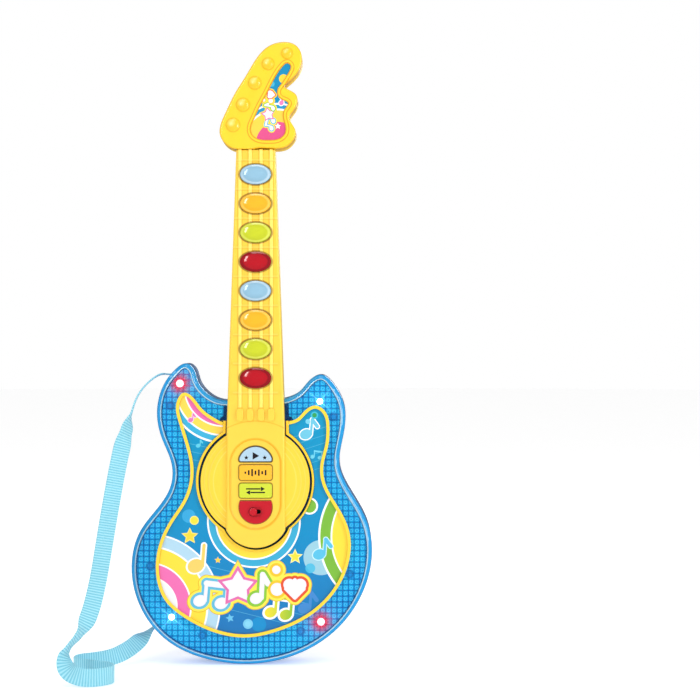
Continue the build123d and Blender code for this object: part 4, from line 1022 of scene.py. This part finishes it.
def web_section(rib):
    """Points round the webbing's section: how far across, how far out. rib is 0 to 1."""
    half, edge = WEB_WIDTH / 2, WEB_HALF_T * 0.8
    face = WEB_HALF_T - RIB_HEIGHT * (1 - rib)
    top = [(-half + 0.35, edge), (-half + 0.95, face), (-half / 2, face), (0, face), (half / 2, face),
           (half - 0.95, face), (half - 0.35, edge)]
    return [(-half, 0)] + top + [(half, 0)] + [(across, -out) for across, out in reversed(top)]


def webbing_material():
    skin = Surface("blue_webbing", srgb(150, 218, 236), roughness=0.72, mottle=0.05, grain=0.6,
                   fixed={"Sheen Weight": 0.35, "Sheen Roughness": 0.4, "Specular IOR Level": 0.25})
    uv = skin.node("ShaderNodeUVMap", uv_map="weave").outputs[0]
    along, across, _ = skin.split(uv)
    rib = skin.math("COSINE", skin.times(along, 2 * pi / RIB_PITCH))
    # painted shade in the valleys between ribs, and a painted highlight on their crests
    valley_shade = skin.ramp(rib, 0.1, -0.9)
    skin.colour = skin.mix(skin.times(valley_shade, 0.62), skin.colour, srgb(100, 186, 212))
    crest_highlight = skin.ramp(rib, 0.35, 1.0)
    skin.colour = skin.mix(skin.times(crest_highlight, 0.5), skin.colour, srgb(190, 238, 248))
    thread = skin.math("SINE", skin.times(across, 2 * pi / 0.62))
    slant = skin.math("SINE", skin.times(skin.plus(along, across), 2 * pi / 0.7))
    skin.raise_by(skin.times(skin.plus(thread, slant), 0.045))
    return skin.done()


def strap():
    step = RIB_PITCH / RIB_ROWS
    centres = evenly(spline_points(STRAP_ROUTE), step * MM)
    build = bmesh.new()
    weave = build.loops.layers.uv.new("weave")
    rows = []
    for k, (centre, (width, tangent)) in enumerate(zip(centres, width_directions(centres))):
        out = tangent.cross(width)
        rib = (1 + cos(2 * pi * k / RIB_ROWS)) / 2
        rows.append([build.verts.new(centre + (width * across + out * up) * MM)
                     for across, up in web_section(rib)])
    section = web_section(1)
    for k, (first, second) in enumerate(zip(rows, rows[1:])):
        for j, face in enumerate(bridge(build, first, second)):
            nxt = (j + 1) % len(first)
            for loop, (row, column) in zip(face.loops, ((k, j), (k, nxt), (k + 1, nxt), (k + 1, j))):
                loop[weave].uv = (row * step, section[column][0])
    build.faces.new(reversed(rows[0]))
    build.faces.new(rows[-1])
    bmesh.ops.recalc_face_normals(build, faces=build.faces)
    piece = add_piece("strap_webbing", closed(build, "strap_webbing"), webbing_material(),
                      smooth_angle=75)
    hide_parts("strap")


# -------------------- stage

FLOOR_R = 9.0
FLOOR_GLOW = 0.36
FLOOR_IN_GLOSS = 0.14
FLOOR_DROP = 0.0003
WORLD_LIGHT, WORLD_IN_GLOSS, WORLD_SEEN = 0.78, 0.16, 1.0
AIM = (0, 0, 0.27)
# name, place, size and power of each soft light
LIGHTS = (
    ("key", (-0.85, -1.35, 1.0), (0.22, 1.0), 5.5),
    ("fill", (1.3, -0.7, 0.45), (0.2, 1.1), 7.0),
    ("top", (0.1, -0.4, 1.7), (0.9, 0.5), 3.0),
    ("back", (0.7, 1.5, 0.9), (0.5, 0.9), 6.0),
)
EYE = (0.0882, -1.256, 0.282)
LENS = 71.4


def floor():
    build = bmesh.new()
    bmesh.ops.create_circle(build, cap_ends=True, segments=96, radius=FLOOR_R)
    mesh = closed(build, "floor")
    skin = Surface("pale_floor", srgb(250, 250, 250), roughness=0.6, mottle=0.004, grain=0.1,
                   fixed={"Emission Color": WHITE_INK, "Emission Strength": FLOOR_GLOW})
    material = skin.done()
    dim = skin.node("ShaderNodeEmission")
    dim.inputs["Strength"].default_value = FLOOR_IN_GLOSS
    mirrored = skin.node("ShaderNodeLightPath").outputs["Is Glossy Ray"]
    skin.show(skin.blend(mirrored, skin.shader.outputs[0], dim.outputs[0]))
    mesh.materials.append(material)
    ground = placed("floor", mesh)
    ground.location.z = CAD_BOX[0][2] - FLOOR_DROP


def soft_light(name, place, size, power):
    data = bpy.data.lights.new(name, "AREA")
    data.shape = "RECTANGLE"
    data.size, data.size_y = size
    data.energy = power
    lamp = placed(name, data)
    lamp.location = place
    lamp.rotation_euler = (Vector(AIM) - Vector(place)).to_track_quat("-Z", "Y").to_euler()


def studio():
    scene = bpy.context.scene
    scene.view_settings.view_transform = "Standard"
    world = bpy.data.worlds.new("studio")
    scene.world = world
    world.use_nodes = True
    nodes, links = world.node_tree.nodes, world.node_tree.links
    background = nodes["Background"]
    path = nodes.new("ShaderNodeLightPath")
    level = None
    for ray, strength in (("Is Glossy Ray", WORLD_IN_GLOSS), ("Is Camera Ray", WORLD_SEEN)):
        blend = nodes.new("ShaderNodeMix")
        links.new(path.outputs[ray], blend.inputs[0])
        if level is None:
            blend.inputs[2].default_value = WORLD_LIGHT
        else:
            links.new(level, blend.inputs[2])
        blend.inputs[3].default_value = strength
        level = blend.outputs[0]
    links.new(level, background.inputs["Strength"])
    background.inputs["Color"].default_value = (1, 1, 1, 1)
    for light in LIGHTS:
        soft_light(*light)


def camera():
    data = bpy.data.cameras.new("camera")
    data.lens = LENS
    data.sensor_width = 36
    eye = placed("camera", data)
    eye.location = EYE
    eye.rotation_euler = (pi / 2, 0, 0)
    bpy.context.scene.camera = eye


# -------------------- put together

camera()
studio()
floor()
strap()

wear(clear_plastic(), "front_shell")
plain("blue_shell", "rear_shell", "battery_door")
wear(face_art(), "face_plate")
wear(neck_plastic(), "neck_front")
plain("yellow_back", "neck_back")
wear(sticker_art(), "headstock_sticker")

NOTE_FINISHES = (
    note_plastic("red_note", srgb(178, 10, 28), srgb(120, 4, 18)),
    note_plastic("lime_note", srgb(194, 202, 40), srgb(222, 228, 96)),
    note_plastic("orange_note", srgb(246, 176, 36), srgb(250, 206, 90)),
    note_plastic("pale_note", srgb(140, 182, 206), srgb(190, 216, 232)),
)
for number in range(NOTE_COUNT):
    wear(NOTE_FINISHES[number % len(NOTE_FINISHES)], f"note_button_{number + 1}")
wear(panel_button("pale_button", srgb(176, 206, 226), play_mark, demo_shape), "demo_button")
wear(panel_button("orange_button", srgb(250, 188, 48), rhythm_mark), "rhythm_button")
wear(panel_button("lime_button", srgb(208, 220, 56), change_mark), "change_button")
plain("red_switch", "switch_plate", "switch_knob")
plain("silicone", "neck_keypad", "control_keypad")
plain("solder_resist", "neck_board", "main_board")
plain("black_plastic", "main_chip", "capacitors", "battery_tray", "mic_jack", "switch_body")
plain("white_plastic", "ribbon_cable", "lamp_holders")
plain("pressed_paper", "speaker_cone")
plain("cell_sleeve", "batteries")
plain("wire_vinyl", "speaker_wires", "battery_wires", "lamp_wires")
plain("zinc_steel", "speaker_frame", "speaker_magnet", "battery_springs", "spring_plates", "flat_contacts",
      "battery_door_screw", "strap_pin_upper", "strap_pin_lower", "body_screws", "neck_screws",
      "board_screws", "speaker_screws")
wear(lamp_material("red_lamp", srgb(255, 150, 160)), "lamp_red_upper", "lamp_red_lower")
wear(lamp_material("white_lamp", srgb(245, 250, 255)), "lamp_white_upper", "lamp_white_lower")

softened("headstock_front", "headstock_cover", 0.35, headstock_plastic())
sticker_border_shade()
# the orange at the foot of each bead is painted shade
bead = bead_plastic("yellow_bead", srgb(254, 214, 60), 0.24, (-15.0, -14.3), srgb(222, 146, 16))
softened("face_trim", "trim_bead", 0.8, bead)
bezel = bead_plastic("yellow_rim", srgb(253, 206, 46), 0.26, (-15.5, -14.6), srgb(226, 152, 18), gapped=True)
softened("disc_rim", "disc_bezel", 0.7, bezel)
light_cells()
